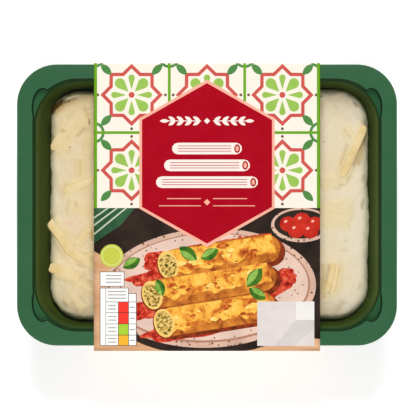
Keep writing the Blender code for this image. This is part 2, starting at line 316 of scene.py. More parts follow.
def bridge(bm, loops, peak=None):
    """Faces through loops of equal length, with a cap or a peak at the end. Gives back the vertices."""
    rings = [[bm.verts.new(p) for p in loop] for loop in loops]
    count = len(rings[0])
    following = [(i, (i + 1) % count) for i in range(count)]
    for low, high in zip(rings, rings[1:]):
        for i, j in following:
            bm.faces.new((low[i], low[j], high[j], high[i]))
    bm.faces.new(list(reversed(rings[0])))
    if peak is None:
        bm.faces.new(rings[-1])
    else:
        tip = bm.verts.new(peak)
        for i, j in following:
            bm.faces.new((rings[-1][i], rings[-1][j], tip))
    return [vert for ring in rings for vert in ring]


def finish_mesh(name, bm, looks, sharp_degrees=35):
    """An object from a bmesh, with outward faces, smooth shading and its materials."""
    bmesh.ops.recalc_face_normals(bm, faces=bm.faces)
    mesh = bpy.data.meshes.new(name)
    bm.to_mesh(mesh)
    bm.free()
    for look in looks:
        mesh.materials.append(look.material)
    mesh.shade_smooth()
    mesh.set_sharp_from_angle(angle=math.radians(sharp_degrees))
    return linked(name, mesh)


def linked(name, data):
    """A new object in the scene."""
    obj = bpy.data.objects.new(name, data)
    bpy.context.scene.collection.objects.link(obj)
    return obj


def stand_in(obj, node):
    """The piece rides with the pack and stands in for a node of the model, which it hides."""
    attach(obj, "root")
    if node:
        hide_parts(node)


# Tray


def plastic(name, specular=0.22):
    """Moulded plastic with a faint cloudiness in its gloss; its colour comes after."""
    look = Look(name, specular)
    look.rough(look.noise(8 * MM, Detail=4), 0.37, 0.49)
    return look.bump(look.noise(0.6 * MM), 0.005 * MM)


def green_look():
    """The rim and the outside: dark green. The pockets' floor is darker, as painted shade in the recess,
    and lighter on the left than on the right, as painted light.
    """
    look = plastic("green_plastic")
    cloud = look.noise(30 * MM, Detail=3)
    rim = look.ramp(cloud, (0.3, 47, 98, 62), (0.7, 52, 102, 66))
    # Painted shade on the pockets' floor: lighter on the left, darker on the right, as painted light from
    # one side
    left = look.ramp(cloud, (0.3, 37, 88, 50), (0.7, 42, 92, 54))
    right = look.ramp(cloud, (0.3, 26, 79, 40), (0.7, 31, 84, 44))
    shaded_pocket = look.mix(look.along("X", -30 * MM, 30 * MM), left, right)
    level = look.along("Z", RIM_Z - 1.6 * MM, RIM_Z - 0.5 * MM)
    below = look.along("Z", LEDGE_Z - 0.4 * MM, LEDGE_Z - 1.0 * MM)
    return look.colour(look.mix(below, look.mix(level, shaded_pocket, rim), rim))


def step_look():
    """The leaning step round the mouth: its deep green is painted shade, so that it shows as a thin dark
    line.
    """
    look = plastic("step_shade_plastic", specular=0.08)
    return look.colour(look.ramp(look.noise(12 * MM, Detail=3), (0.3, 9, 52, 21), (0.7, 15, 60, 27)))


# Colours of the tray's inner walls: low down, half-way up, and near the ledge. They are painted light and
# shade: the olive tint stands for warm light thrown up from the food, each wall is lit or shaded to its own
# degree, and the edge colour is painted shade under the step
LEFT_WALL = ((90, 104, 34), (74, 89, 33), (82, 104, 38))
RIGHT_WALL = ((52, 70, 22), (66, 84, 28), (88, 110, 44))
FRONT_WALL = ((104, 120, 24), (50, 66, 12), (62, 88, 36))
BACK_WALL = ((70, 82, 2), (47, 58, 4), (58, 78, 28))
WALL_EDGE_SHADE = (24, 62, 22)


def wall_ramp(look, height, colours):
    """One wall's painted light and shade by height, with the painted shade of its top edge."""
    return look.ramp(height, *[(at, *c) for at, c in zip((0.1, 0.52, 0.88, 0.95), (*colours, WALL_EDGE_SHADE))])


def olive_look():
    """The inside below the ledge: olive painted light, a deep green painted shade at the top edge, and
    darker on the long sides as painted shade.
    """
    look = plastic("wall_light_and_shade_plastic", specular=0.04)
    height = look.along("Z", LEDGE_Z - 20 * MM, LEDGE_Z)
    left, right = wall_ramp(look, height, LEFT_WALL), wall_ramp(look, height, RIGHT_WALL)
    front, back = wall_ramp(look, height, FRONT_WALL), wall_ramp(look, height, BACK_WALL)
    ends = look.mix(look.along("X", -30 * MM, 30 * MM), left, right)
    sides = look.mix(look.along("Y", -20 * MM, 20 * MM), front, back)
    cloud = look.remap(look.noise(24 * MM, Detail=3), 0.3, 0.7, 0.0, 0.14)
    colour = look.mix(look.along("Y", 44 * MM, 54 * MM, both_ways=True), ends, sides)
    return look.colour(look.mix(cloud, colour, ink(24, 36, 10)))


def round_over(start_z, radius, outline, outward_first):
    """Loops of a quarter round between an upright face and a level one above it."""
    loops = []
    for turn in steps(0.0, math.pi / 2, ROUND_STEPS):
        out, rise = radius * (1 - math.cos(turn)), radius * math.sin(turn)
        if outward_first:
            out, rise = rise, out
        loops.append(outline(start_z + rise, out))
    return loops


def tray_inner_loops():
    """The inner face from the base's middle up to the rim's edge."""
    inner_floor = TRAY_FOOT_Z + TRAY_WALL
    foot, lean = LEDGE_FOOT, STEP_LEAN / 2
    return [
        *base_panel(inner_floor, 0.0),
        *base_fillet(inner_floor, BASE_FILLET, 0.0),
        *round_over(LEDGE_Z - LEDGE_ROUND, LEDGE_ROUND, wall_loop, False),
        rounded_loop(LEDGE_Z, grown(MOUTH_HALF, -LEDGE_EDGE), MOUTH_CORNER - LEDGE_EDGE),
        *round_over(LEDGE_Z, foot, lambda z, by: mouth_loop(z, by - foot - lean), True),
        *round_over(RIM_Z - MOUTH_ROUND, MOUTH_ROUND, lambda z, by: mouth_loop(z, by + lean), False),
    ]


def rim_loops():
    """The rim's edge, from its top round to its underside."""
    loops = []
    for turn in steps(math.pi / 2, 0.0, 4):
        by = RIM_ROUND * (math.cos(turn) - 1)
        z = RIM_Z - RIM_ROUND * (1 - math.sin(turn))
        loops.append(rounded_loop(z, grown(TRAY_HALF, by), TRAY_CORNER + by))
    edge_z = RIM_Z - TRAY_WALL
    loops.append(rounded_loop(edge_z + RIM_ROUND / 2, TRAY_HALF, TRAY_CORNER))
    loops.append(rounded_loop(edge_z, grown(TRAY_HALF, -RIM_ROUND / 2), TRAY_CORNER - RIM_ROUND / 2))
    return loops


def tray_outer_loops():
    """The outer face from under the rim down to the base's middle."""
    upper, lower = RIM_Z - TRAY_WALL, LEDGE_Z - TRAY_WALL
    mouth = (
        (upper, STEP_LEAN / 2 + MOUTH_ROUND),
        (upper - MOUTH_ROUND / 3, STEP_LEAN / 2 + MOUTH_ROUND / 3),
        (upper - MOUTH_ROUND, STEP_LEAN / 2),
        (lower + LEDGE_FOOT, -STEP_LEAN / 2),
        (lower, -STEP_LEAN / 2 - LEDGE_FOOT),
    )
    return [
        *[mouth_loop(z, TRAY_WALL + by) for z, by in mouth],
        rounded_loop(lower, *wall_section(LEDGE_Z, TRAY_WALL)),
        *reversed(base_fillet(TRAY_FOOT_Z, BASE_FILLET + TRAY_WALL, TRAY_WALL)),
        *reversed(base_panel(TRAY_FOOT_Z, -TRAY_WALL)),
    ]


def inside_cavity(point):
    """Whether a point of the tray is below the ledge and within the middle of the wall."""
    angle, distance = polar(point.x, point.y, TRAY_CENTRE)
    return point.z < LEDGE_Z and distance < rounded_hit(angle, *wall_section(point.z, TRAY_WALL / 2))


def on_step(point):
    """Whether a point of the tray is on the steep step below the rim."""
    angle, distance = polar(point.x, point.y, TRAY_CENTRE)
    return distance < mouth_hit(angle, STEP_LEAN) and LEDGE_Z < point.z < RIM_Z - MOUTH_ROUND / 2


def make_tray():
    bm = bmesh.new()
    bridge(bm, [*tray_inner_loops(), *rim_loops(), *tray_outer_loops()])
    bmesh.ops.recalc_face_normals(bm, faces=bm.faces)
    for face in bm.faces:
        middle = face.calc_center_median()
        if face.normal.z > 0 and inside_cavity(middle):
            face.material_index = 1
        elif on_step(middle):
            face.material_index = 2
    looks = [green_look(), olive_look(), step_look()]
    stand_in(finish_mesh("tray_shell", bm, looks, 50), "tray")


# Food

FOOD_CENTRE = (1.2 * MM, 1.4 * MM)
FOOD_HALF = (80.4 * MM, 58.3 * MM)
FOOD_CORNER = 17 * MM
FOOD_TOP = 27 * MM
LEFT_SHOULDER = 3.4 * MM
RIGHT_SHOULDER = 4.4 * MM
FRONT_SHOULDER = 1.9 * MM
BACK_SHOULDER = 2.8 * MM
SHOULDER_STEPS = 8
FOOD_GAP = 0.3 * MM
FOOD_SIDE_HEIGHTS = (8.5 * MM, 12 * MM, 16 * MM, 19.5 * MM)
TUBES = 4
TUBE_SAG = 2.2 * MM
LUMP_HEIGHT = 0.8 * MM
LUMP_SIZE = 16 * MM
EDGE_WOBBLE = 0.9 * MM
EDGE_WOBBLE_SIZE = 22 * MM
# Where the food's edge is pushed out or in: heading and spread in degrees, push in mm
EDGE_PUSHES = ((137, 6, -1.7), (147.5, 2.5, 1.1))
# Strips of cheese that show beside the sleeve, in mm and degrees: x, y, length, width, heading, lift
SHOWN_STRIPS = (
    (-73.0, 35.2, 15, 7.0, 60, -0.1),
    (-65.5, 43.0, 13, 8.0, 48, -0.5),
    (-64.8, 10.9, 16, 4.2, 19, 0.1),
    (-73.6, -15.4, 20, 5.6, -56, 0.4),
    (-63.0, -26.2, 13, 5.2, -30, 0.1),
    (-62.8, -15.2, 12, 3.2, 48, 0.0),
    (-72.0, -33.0, 16, 5.6, -22, 0.6),
    (-60.5, -25.0, 8, 3.4, 15, 0.0),
    (-61.5, -40.0, 10, 3.0, -25, -0.3),
    (-66.5, -49.0, 9, 3.2, -38, -0.5),
    (73.9, 28.0, 28.2, 4.2, 66, 0.8),
    (65.5, -2.8, 13, 3.2, -9, -0.4),
    (65.0, -7.8, 11, 3.0, -3, -0.4),
    (62.1, -35.9, 15, 3.4, 75, 0.2),
    (64.9, -36.2, 13, 2.8, 79, 0.0),
)
# Strips under the sauce, which only swell and tint it, in the same way
SUNK_STRIPS = (
    (-66.6, 51.5, 19, 3.0, 18, 0),
    (-63.1, -0.5, 12, 5.0, -10, 0),
    (-63.6, 19.2, 9, 2.6, -85, 0),
    (-59.5, 30.5, 10, 3.0, 80, 0),
    (71.2, 37.0, 5, 3.0, -60, 0),
    (62.1, 12.6, 7, 4.0, 10, 0),
    (67.6, 0.5, 9, 3.0, 0, 0),
)
HIDDEN_STRIPS = 26
HIDDEN_HALF = (47 * MM, 43 * MM)
STRIP_THICKNESS = 2.2 * MM
STRIP_SEGMENTS = 14
STRIP_SIDES = 14
STRIP_REACH = 20 * MM
STRIP_BEND = 0.05
STRIP_SKEW = 0.2
STRIP_ROLL = 0.15
STRIP_WAVES = (2.5 * MM, 0.18 * MM)
SAUCE_CLIMB = 0.65 * MM
SAUCE_CLIMB_WIDTH = 1.5 * MM
TINT_WIDTH = 2.4 * MM
# Tomato sauce in a groove near the food's edge, in mm: from x, y, to x, y, width, strength
TOMATO_STREAKS = (
    (-78.3, 47.6, -77.3, 49.3, 0.9, 1.0),
    (-77.3, 49.3, -75.6, 50.8, 0.9, 1.0),
    (-75.6, 50.8, -73.6, 52.2, 0.8, 1.0),
    (-73.6, 52.2, -71.3, 53.2, 0.7, 0.9),
    (-71.3, 53.2, -69.4, 53.7, 0.6, 0.8),
    (-69.4, 53.7, -65.5, 55.4, 0.5, 0.5),
    (-78.8, 48.6, -76.4, 51.6, 1.3, 0.9),
    (-76.4, 51.6, -73.2, 53.8, 1.1, 0.8),
    (-73.2, 53.8, -71.6, 54.6, 0.7, 0.45),
    (56.8, 57.8, 57.6, 56.0, 1.0, 0.6),
)
# Small creases in the sauce, in the same way: each is a shallow groove with painted shade in it, and some
# rows are painted shadows beside strips of cheese
SHADED_CREASES = (
    (-71.2, 39.9, -69.7, 40.4, 0.5, 0.8),
    (-65.4, 36.0, -61.8, 39.6, 0.8, 0.4),
    (-59.4, 41.8, -59.5, 44.4, 0.45, 0.8),
    # painted shade beside a strip of cheese
    (-71.6, 40.2, -75.8, 34.6, 0.7, 0.35),
    (-72.1, 12.5, -72.1, 6.7, 0.6, 0.25),
    (-66.2, 2.0, -66.2, 0.4, 0.7, 0.3),
    (-65.5, -28.9, -62.1, -30.2, 0.5, 0.4),
    (-72.7, -48.0, -71.3, -50.2, 1.1, 0.4),
    (-69.0, -47.1, -65.6, -52.0, 1.0, 0.35),
    (-63.6, -45.8, -61.6, -48.4, 0.8, 0.25),
    (61.5, -29.2, 59.8, -39.5, 0.5, 0.55),
    (59.8, -39.5, 61.9, -43.6, 0.5, 0.6),
    (69.5, 38.8, 72.4, 34.7, 0.7, 0.25),
    # painted shadow of the long strip on the right, in two rows
    (80.2, 36.5, 76.6, 29.1, 0.8, 0.8),
    (76.6, 29.1, 73.9, 21.2, 0.7, 0.6),
    (74.5, 52.4, 75.4, 51.0, 0.8, 0.8),
    (79.0, 3.7, 78.1, -1.2, 0.55, 0.65),
    (79.4, 16.0, 79.0, 12.6, 0.6, 0.5),
    (77.4, -38.5, 77.0, -41.2, 1.0, 0.3),
    (68.5, -48.0, 64.8, -53.8, 1.5, 0.3),
    (67.7, 11.2, 69.4, 11.0, 0.4, 0.4),
    (64.5, 9.3, 66.2, 9.2, 0.4, 0.2),
    (69.4, -16.9, 70.8, -16.9, 0.45, 0.25),
    (68.3, -21.8, 70.3, -21.8, 0.45, 0.25),
)
# Warm yellow-brown tints of the sauce, in the same way; most are its own colour, and one row is a painted
# shadow of the long strip on the right
WARM_AND_SHADOW_STREAKS = (
    (-76.4, 47.8, -73.0, 51.0, 1.6, 0.85),
    (-73.0, 51.0, -66.5, 53.6, 1.4, 0.6),
    (-66.5, 53.6, -58.0, 56.0, 1.3, 0.4),
    (-61.5, 49.5, -60.0, 46.0, 1.2, 0.5),
    (-61.8, -24.2, -58.5, -25.0, 1.2, 0.9),
    (-60.5, -37.0, -58.2, -38.2, 1.0, 0.6),
    (-62.0, -35.0, -58.0, -41.0, 2.2, 0.25),
    (-58.5, -12.5, -57.8, -16.0, 1.0, 0.8),
    (-58.0, 42.0, -58.0, -42.0, 3.2, 0.12),
    (-64.0, 23.5, -64.0, 16.5, 0.8, 0.4),
    (-75.5, 31.0, -71.0, 39.5, 2.6, 0.25),
    # painted shadow of the long strip on the right
    (79.4, 34.0, 76.6, 22.5, 1.5, 0.75),
    (70.3, 30.8, 67.4, 21.8, 1.2, 0.4),
    (58.6, -30.0, 58.6, -45.0, 1.5, 0.5),
    (57.8, 53.0, 57.8, 46.0, 1.0, 0.4),
)
# Waves in the sauce's relief and whiteness: their size, then how much they add
FOLDS = (7 * MM, 0.5 * MM)
RIPPLES = (2.8 * MM, 0.2 * MM)
VALLEYS = (9 * MM, 0.2 * MM)
VALLEY_SHARPNESS = 0.05
DENTS = (5 * MM, 0.4 * MM)
DRIPS = (2.2 * MM, 0.2 * MM)
PALE_CLOUDS = (16 * MM, 0.35)
SIDE_CRUMPLE = 0.6
CRUMPLE_FROM = 0.95
TOMATO_DEPTH = 0.6 * MM
CREASE_DEPTH = 0.3 * MM
EDGE_TINT_WIDTH = 4.2 * MM


def hidden_strips(rng):
    """Strips that the sleeve covers, spread by a seeded draw."""
    strips = []
    for _ in range(HIDDEN_STRIPS):
        x, y = rng.uniform(-HIDDEN_HALF[0], HIDDEN_HALF[0]), rng.uniform(-HIDDEN_HALF[1], HIDDEN_HALF[1])
        length, width = rng.uniform(13 * MM, 26 * MM), rng.uniform(3.4 * MM, 4.8 * MM)
        strips.append((x, y, length, width, rng.uniform(0, math.pi), rng.uniform(-0.4, 0.6) * MM))
    return strips


def in_metres(strips):
    return [(*(v * MM for v in strip[:4]), math.radians(strip[4]), strip[5] * MM) for strip in strips]


STRIPS = in_metres(SHOWN_STRIPS) + hidden_strips(random.Random(SEED))
SWELLS = STRIPS + in_metres(SUNK_STRIPS)


def broad_height(x, y):
    """Height of the sauce as the solid has it: soft humps of the tubes under it, and small lumps."""
    pitch = 2 * FOOD_HALF[0] / TUBES
    across = 2 * (((x - FOOD_CENTRE[0] + FOOD_HALF[0]) / pitch) % 1.0) - 1
    lumps = noise.noise(Vector((x / LUMP_SIZE, y / LUMP_SIZE, 0.5)))
    return FOOD_TOP - TUBE_SAG * across**4 + LUMP_HEIGHT * lumps


def strip_distance(x, y, strip):
    """How far a point is from a strip's edge, seen from above."""
    sx, sy, length, width, heading, _ = strip
    dx, dy = x - sx, y - sy
    along = abs(dx * math.cos(heading) + dy * math.sin(heading)) - length / 2
    aside = abs(dy * math.cos(heading) - dx * math.sin(heading)) - width / 2
    return math.hypot(max(along, 0), max(aside, 0))


def near_cheese(x, y, width, weigh=lambda strip: 1.0):
    """From 1 on a strip of cheese down to 0 some way from it, times a weight of the strip's own."""
    near = 0.0
    for strip in SWELLS:
        if abs(x - strip[0]) < STRIP_REACH and abs(y - strip[1]) < STRIP_REACH:
            gap = strip_distance(x, y, strip) / width
            near = max(near, weigh(strip) * math.exp(-gap * gap))
    return near


def strip_climb(strip):
    """How far the sauce climbs a strip: further where the strip stands higher."""
    return SAUCE_CLIMB + 0.5 * max(0.0, strip[5])


def wave(point, size_and_height, offset=(0, 0, 0)):
    """How high a random wave stands at a point. The offset picks one of many such waves."""
    size, height = size_and_height
    return noise.noise(point / size + Vector(offset)) * height


def sauce_height(x, y):
    """The broad height with finer folds, and the sauce drawn up against each strip of cheese."""
    p = Vector((x, y, 0))
    waves = wave(p, FOLDS, (3.1, 0, 0)) + wave(p, RIPPLES, (0, 5.7, 0))
    off = wave(p, (VALLEYS[0], 1 / VALLEY_SHARPNESS), (0, 0, 4.2))
    valley = VALLEYS[1] * math.exp(-off * off)
    climb = near_cheese(x, y, SAUCE_CLIMB_WIDTH, strip_climb)
    dents = TOMATO_DEPTH * streaked(x, y, TOMATO_STREAKS) + CREASE_DEPTH * streaked(x, y, SHADED_CREASES)
    return broad_height(x, y) + waves - valley + climb - dents


def streaked(x, y, streaks):
    """From a streak's strength along its middle down to 0 outside it."""
    share = 0.0
    for x0, y0, x1, y1, width, strength in streaks:
        dx, dy = x1 - x0, y1 - y0
        px, py = x / MM - x0, y / MM - y0
        along = clamped((px * dx + py * dy) / (dx * dx + dy * dy))
        gap = math.hypot(px - along * dx, py - along * dy) / width
        share = max(share, strength * math.exp(-gap * gap))
    return share


def edge_nearness(x, y):
    """From 1 at the food's outline down to 0 a little way in."""
    angle, distance = polar(x, y, FOOD_CENTRE)
    return clamped(1 - (food_hit(angle) - distance) / EDGE_TINT_WIDTH)


def paleness(x, y):
    """How white the sauce is, from 0 to 1: more to the right, and along the food's ends."""
    right = clamped((x + 20 * MM) / (70 * MM))
    end = clamped((abs(x) - 66 * MM) / (12 * MM))
    return clamped(0.55 * right + 0.4 * end + wave(Vector((x, y, 0)), PALE_CLOUDS, (0, 8.1, 0)))


def food_hit(angle, inset=0.0):
    """How far the food reaches from its own centre: a rounded rectangle with an uneven edge."""
    wobble = noise.noise(direction(angle) * (FOOD_HALF[0] / EDGE_WOBBLE_SIZE)) * EDGE_WOBBLE
    reach = rounded_hit(angle, grown(FOOD_HALF, wobble - inset), FOOD_CORNER - inset)
    for heading, spread, push in EDGE_PUSHES:
        off = (math.degrees(angle) - heading) / spread
        reach += push * MM * math.exp(-off * off)
    return reach


def kept_in_tray(point):
    """The point, drawn in towards the tray's centre where it would touch the wall."""
    angle, distance = polar(point.x, point.y, TRAY_CENTRE)
    share = min(1.0, rounded_hit(angle, *wall_section(point.z, -FOOD_GAP)) / distance)
    x, y = [c + (p - c) * share for p, c in zip(point, TRAY_CENTRE)]
    return Vector((x, y, point.z))


def edge_crumple(point, share):
    """Uneven side of the food: small dents and drips, strongest at the shoulder."""
    away = Vector((point.x - FOOD_CENTRE[0], point.y - FOOD_CENTRE[1], 0)).normalized()
    return point + away * ((wave(point, DENTS) + wave(point, DRIPS)) * share)


def shoulder(angle):
    """Radius of the food's top edge, rounder at the right end and tighter along the front."""
    c, s = math.cos(angle), math.sin(angle)
    end = RIGHT_SHOULDER if c > 0 else LEFT_SHOULDER
    side = BACK_SHOULDER if s > 0 else FRONT_SHOULDER
    return end * c * c + side * s * s


def food_loops():
    """Loops of the food from its base up its side, over the shoulder and in to the middle."""
    loops = [*base_panel(FOOD_FLOOR_Z, FOOD_GAP, FOOD_RAYS)]
    loops += base_fillet(FOOD_FLOOR_Z, BASE_FILLET - FOOD_GAP, -FOOD_GAP, FOOD_RAYS)[:ROUND_STEPS // 2 + 1]
    for z in FOOD_SIDE_HEIGHTS:
        side = loop_at(FOOD_RAYS, z, food_hit, FOOD_CENTRE)
        loops.append([kept_in_tray(edge_crumple(p, SIDE_CRUMPLE)) for p in side])
    for i in range(SHOULDER_STEPS):
        turn = math.pi / 2 * i / SHOULDER_STEPS
        loops.append(top_loop(1.0, 1 - math.cos(turn), 1 - math.sin(turn), math.cos(turn)))
    for share in TOP_SHARES:
        loops.append(top_loop(share, 1.0, 0.0, max(0.0, (share - CRUMPLE_FROM) * 10)))
    return loops


def top_loop(share, inset, drop, crumple):
    """A loop at this share of the way out, laid on the sauce. Inset and drop are shares of the shoulder."""
    loop = []
    for angle in FOOD_RAYS:
        radius = shoulder(angle)
        point = Vector((*FOOD_CENTRE, 0)) + share * food_hit(angle, inset * radius) * direction(angle)
        point.z = sauce_height(point.x, point.y) - drop * radius
        loop.append(kept_in_tray(edge_crumple(point, crumple)))
    return loop


# What is painted on the sauce's points: name, its strongest share, its colour. Some of these are painted
# light: the warm tint is partly a painted shadow, the crease tint is painted shade, and the edge tint is a
# painted reflection of the green wall
SAUCE_TINTS = (
    ("cheesy", 0.45, (238, 213, 150)),
    ("warm_and_shadow", 1.0, (204, 168, 100)),
    ("wall_reflection", 0.6, (204, 204, 166)),
    ("crease_shade", 1.0, (156, 132, 88)),
)
WHITE_SAUCE = (
    (0.28, 222, 200, 152),
    (0.40, 234, 209, 170),
    (0.50, 232, 213, 172),
    (0.60, 238, 215, 180),
    (0.72, 234, 204, 162),
)


def sauce_look():
    """White sauce with faint warm and pale clouds, its creases, and the tomato sauce at its edge; its
    colour also carries painted shade in the creases and down its sides, a painted shadow beside a strip of
    cheese and a painted reflection of the green wall at its edge.
    """
    look = Look("white_sauce", specular=0.3)
    top = look.ramp(look.noise(8 * MM, Detail=5, Roughness=0.6, Distortion=0.6), *WHITE_SAUCE)
    # Painted shade down the food's sides: a darker grey-green and brown below the top
    low = look.ramp(look.noise(7 * MM, Detail=3), (0.42, 196, 190, 146), (0.66, 176, 130, 70))
    level = look.along("Z", FOOD_TOP - 8 * MM, FOOD_TOP - 4 * MM)
    colour = look.mix(look.painted("pale"), top, ink(237, 225, 198))
    for name, most, tint in SAUCE_TINTS:
        colour = look.mix(look.remap(look.painted(name), 0, 1, 0, most), colour, ink(*tint))
    shaded_sides = look.mix(level, low, colour)
    look.colour(look.mix(look.remap(look.painted("tomato"), 0.15, 0.75), shaded_sides, ink(100, 68, 2)))
    look.rough(look.noise(3 * MM, Detail=3), 0.34, 0.54)
    return look.bump(look.noise(1.1 * MM, Detail=3, Roughness=0.6), 0.1 * MM)


def make_food():
    bm = bmesh.new()
    bridge(bm, food_loops(), Vector((*FOOD_CENTRE, sauce_height(*FOOD_CENTRE))))
    obj = finish_mesh("sauced_pasta", bm, [sauce_look()], 80)
    # Values painted on the points; the crease, warm and edge values carry painted shade, a painted shadow
    # in part and a painted reflection of the green wall
    painted = {
        "cheesy": lambda x, y: near_cheese(x, y, TINT_WIDTH),
        "tomato": lambda x, y: streaked(x, y, TOMATO_STREAKS),
        "crease_shade": lambda x, y: streaked(x, y, SHADED_CREASES),
        "warm_and_shadow": lambda x, y: streaked(x, y, WARM_AND_SHADOW_STREAKS),
        "wall_reflection": edge_nearness,
        "pale": paleness,
    }
    for name, value in painted.items():
        layer = obj.data.attributes.new(name, "FLOAT", "POINT")
        for vert in obj.data.vertices:
            layer.data[vert.index].value = value(vert.co.x, vert.co.y)
    stand_in(obj, "cannelloni")


def rounded_square(turn, power, extra):
    """A point of a circle pushed out towards a square: across and up, each from -1 to 1."""
    c, s = math.cos(turn), math.sin(turn)
    return math.copysign(abs(c) ** power, c), math.copysign(abs(s) ** (power + extra), s)


def strip_loops(strip, rng):
    """Loops along one strip of cheese: a soft-edged bar, slightly bent, with cut ends."""
    x, y, length, width, heading, lift = strip
    along = direction(heading)
    side = Vector((-along.y, along.x, 0))
    bend = rng.uniform(-STRIP_BEND, STRIP_BEND) * length
    skew = rng.uniform(-STRIP_SKEW, STRIP_SKEW)
    power = 0.85 - 0.35 * clamped((lift / MM + 0.6) / 1.6)
    roll, seed = rng.uniform(-STRIP_ROLL, STRIP_ROLL), rng.uniform(0, 90)
    ends = [Vector((x, y, 0)) + along * (length * t) for t in (-0.5, 0.5)]
    heights = [broad_height(p.x, p.y) for p in ends]
    loops = []
    for t in [i / STRIP_SEGMENTS for i in range(STRIP_SEGMENTS + 1)]:
        taper = 1 - 0.35 * abs(2 * t - 1) ** 10
        slant = 2 * skew * abs(2 * t - 1) ** 6 * math.copysign(1, t - 0.5)
        centre = ends[0].lerp(ends[1], t) + side * (bend * (4 * (t - 0.5) ** 2 - 0.5))
        straight = heights[0] * (1 - t) + heights[1] * t
        centre.z = 0.5 * broad_height(centre.x, centre.y) + 0.5 * straight + lift
        loop = []
        for k in range(STRIP_SIDES):
            across, up = rounded_square(2 * math.pi * k / STRIP_SIDES, power, 0.1)
            across, up = across * width / 2 * taper, up * STRIP_THICKNESS / 2 * taper
            point = centre + side * (across - up * roll) + along * (across * slant)
            point.z += up + across * roll
            point.z += wave(point, STRIP_WAVES, (seed, 0, 0))
            loop.append(point)
        loops.append(loop)
    return loops


def cheese_look():
    """Pale yellow cheese, a little waxy, and whiter where the sauce covers it."""
    look = Look("grated_cheese", specular=0.35)
    cloud = look.noise(6 * MM, Detail=3, Roughness=0.6)
    bare = look.ramp(cloud, (0.3, 231, 203, 138), (0.5, 239, 213, 156), (0.7, 243, 222, 174))
    sauced = look.remap(look.painted("sauced"), 0, 1, 0, 0.75)
    look.colour(look.mix(sauced, bare, ink(238, 217, 176)))
    look.rough(look.noise(2 * MM, Detail=3), 0.34, 0.55)
    return look.bump(look.noise(0.9 * MM, Detail=3), 0.05 * MM)


def make_cheese():
    """The strips, half sunk in the sauce; the lower one lies, the more the sauce covers it."""
    bm = bmesh.new()
    sauced = bm.verts.layers.float.new("sauced")
    rng = random.Random(SEED + 1)
    for strip in STRIPS:
        for vert in bridge(bm, strip_loops(strip, rng)):
            vert[sauced] = clamped((0.1 * MM - strip[5]) / (0.6 * MM))
    stand_in(finish_mesh("grated_cheese", bm, [cheese_look()], 60), None)


# Dark flecks of pepper that show, in mm
SHOWN_FLECKS = ((-69.2, 30.2), (-59.3, 42.8), (59.0, 33.0))
FLECKS = 60
FLECK_SIZE = (0.22 * MM, 0.5 * MM)
FLECK_FLATNESS = 0.35


def fleck_look():
    look = Look("pepper_flecks", specular=0.2, roughness=0.7)
    return look.colour(look.ramp(look.noise(1 * MM), (0.35, 140, 116, 84), (0.65, 190, 166, 130)))


def make_flecks():
    """Small angular flecks lying on the sauce."""
    rng = random.Random(SEED + 2)
    places = [(x * MM, y * MM) for x, y in SHOWN_FLECKS]
    while len(places) < FLECKS:
        places.append((rng.uniform(-54, 54) * MM, rng.uniform(-50, 53) * MM))
    bm = bmesh.new()
    for x, y in places:
        made = bmesh.ops.create_icosphere(bm, subdivisions=1, radius=rng.uniform(*FLECK_SIZE))
        turn = rng.uniform(0, math.pi)
        stretch = rng.uniform(1.0, 2.0)
        for vert in made["verts"]:
            px, py, pz = vert.co
            z = sauce_height(x, y) + 0.02 * MM + pz * FLECK_FLATNESS
            vert.co = (*turned(px * stretch, py, turn, x, y), z)
    stand_in(finish_mesh("pepper_flecks", bm, [fleck_look()]), None)


# Film

FILM_INSET = 0.3 * MM
FILM_RINGS = 24
FILM_ROUGHNESS = 0.08
FILM_MIRROR = (0.015, 0.9)
SLANT_POWER = 5.0
FILM_WAVE = (34 * MM, 22 * MM)
FILM_WAVE_HEIGHT = 0.12 * MM


def film_look():
    """Clear film: it lets light through unchanged and mirrors a little, more at a slant."""
    look = Look("clear_film")
    look.nodes.remove(look.shader)
    steep = look.calculated("POWER", look.add("LayerWeight", Blend=0.5).outputs["Facing"], SLANT_POWER)
    both = look.add("MixShader", Fac=look.remap(steep, 0, 1, *FILM_MIRROR))
    look.join(look.add("BsdfTransparent").outputs["BSDF"], both.inputs[1])
    look.join(look.add("BsdfGlossy", Roughness=FILM_ROUGHNESS).outputs["BSDF"], both.inputs[2])
    look.join(both.outputs["Shader"], look.nodes["Material Output"].inputs["Surface"])
    return look


def make_film():
    """The sealed film: flat on the rim, and very slightly slack over the food."""
    half = grown(TRAY_HALF, -FILM_INSET)
    corner = TRAY_CORNER - FILM_INSET
    sides = []
    for z in (FILM_LOW.z, FILM_HIGH.z):
        loops = []
        for share in [1.0, 0.98, *steps(0.92, 0.04, FILM_RINGS)]:
            loop = loop_at(TRAY_RAYS, z, lambda angle: share * rounded_hit(angle, half, corner))
            for point in loop:
                point.z += film_slack(point, share)
            loops.append(loop)
        sides.append(loops)
    bm = bmesh.new()
    bridge(bm, [*reversed(sides[0]), *sides[1]])
    stand_in(finish_mesh("sealed_film", bm, [film_look()]), "lid_film")


def film_slack(point, share):
    """How far the film sags or lifts, in long shallow waves that fade out at the seal."""
    height = noise.noise(Vector((point.x / FILM_WAVE[0], point.y / FILM_WAVE[1], 2.0))) - 0.4
    return height * FILM_WAVE_HEIGHT * clamped((0.9 - share) / 0.15)


# Sleeve

CARD = 0.4 * MM
PACK_HEIGHT = SLEEVE_HIGH.z
SLEEVE_TOP_HALF = SLEEVE_HIGH.y
SLEEVE_BASE_HALF = 58.5 * MM
SLEEVE_SHOULDER = 2.6 * MM
FOLD_RADIUS = 1.1 * MM
FOLD_STEPS = 6
FLAP_HALF = 8 * MM
FLAP_STEP = 1.2 * MM
FLAP_LIFT = 0.45 * MM


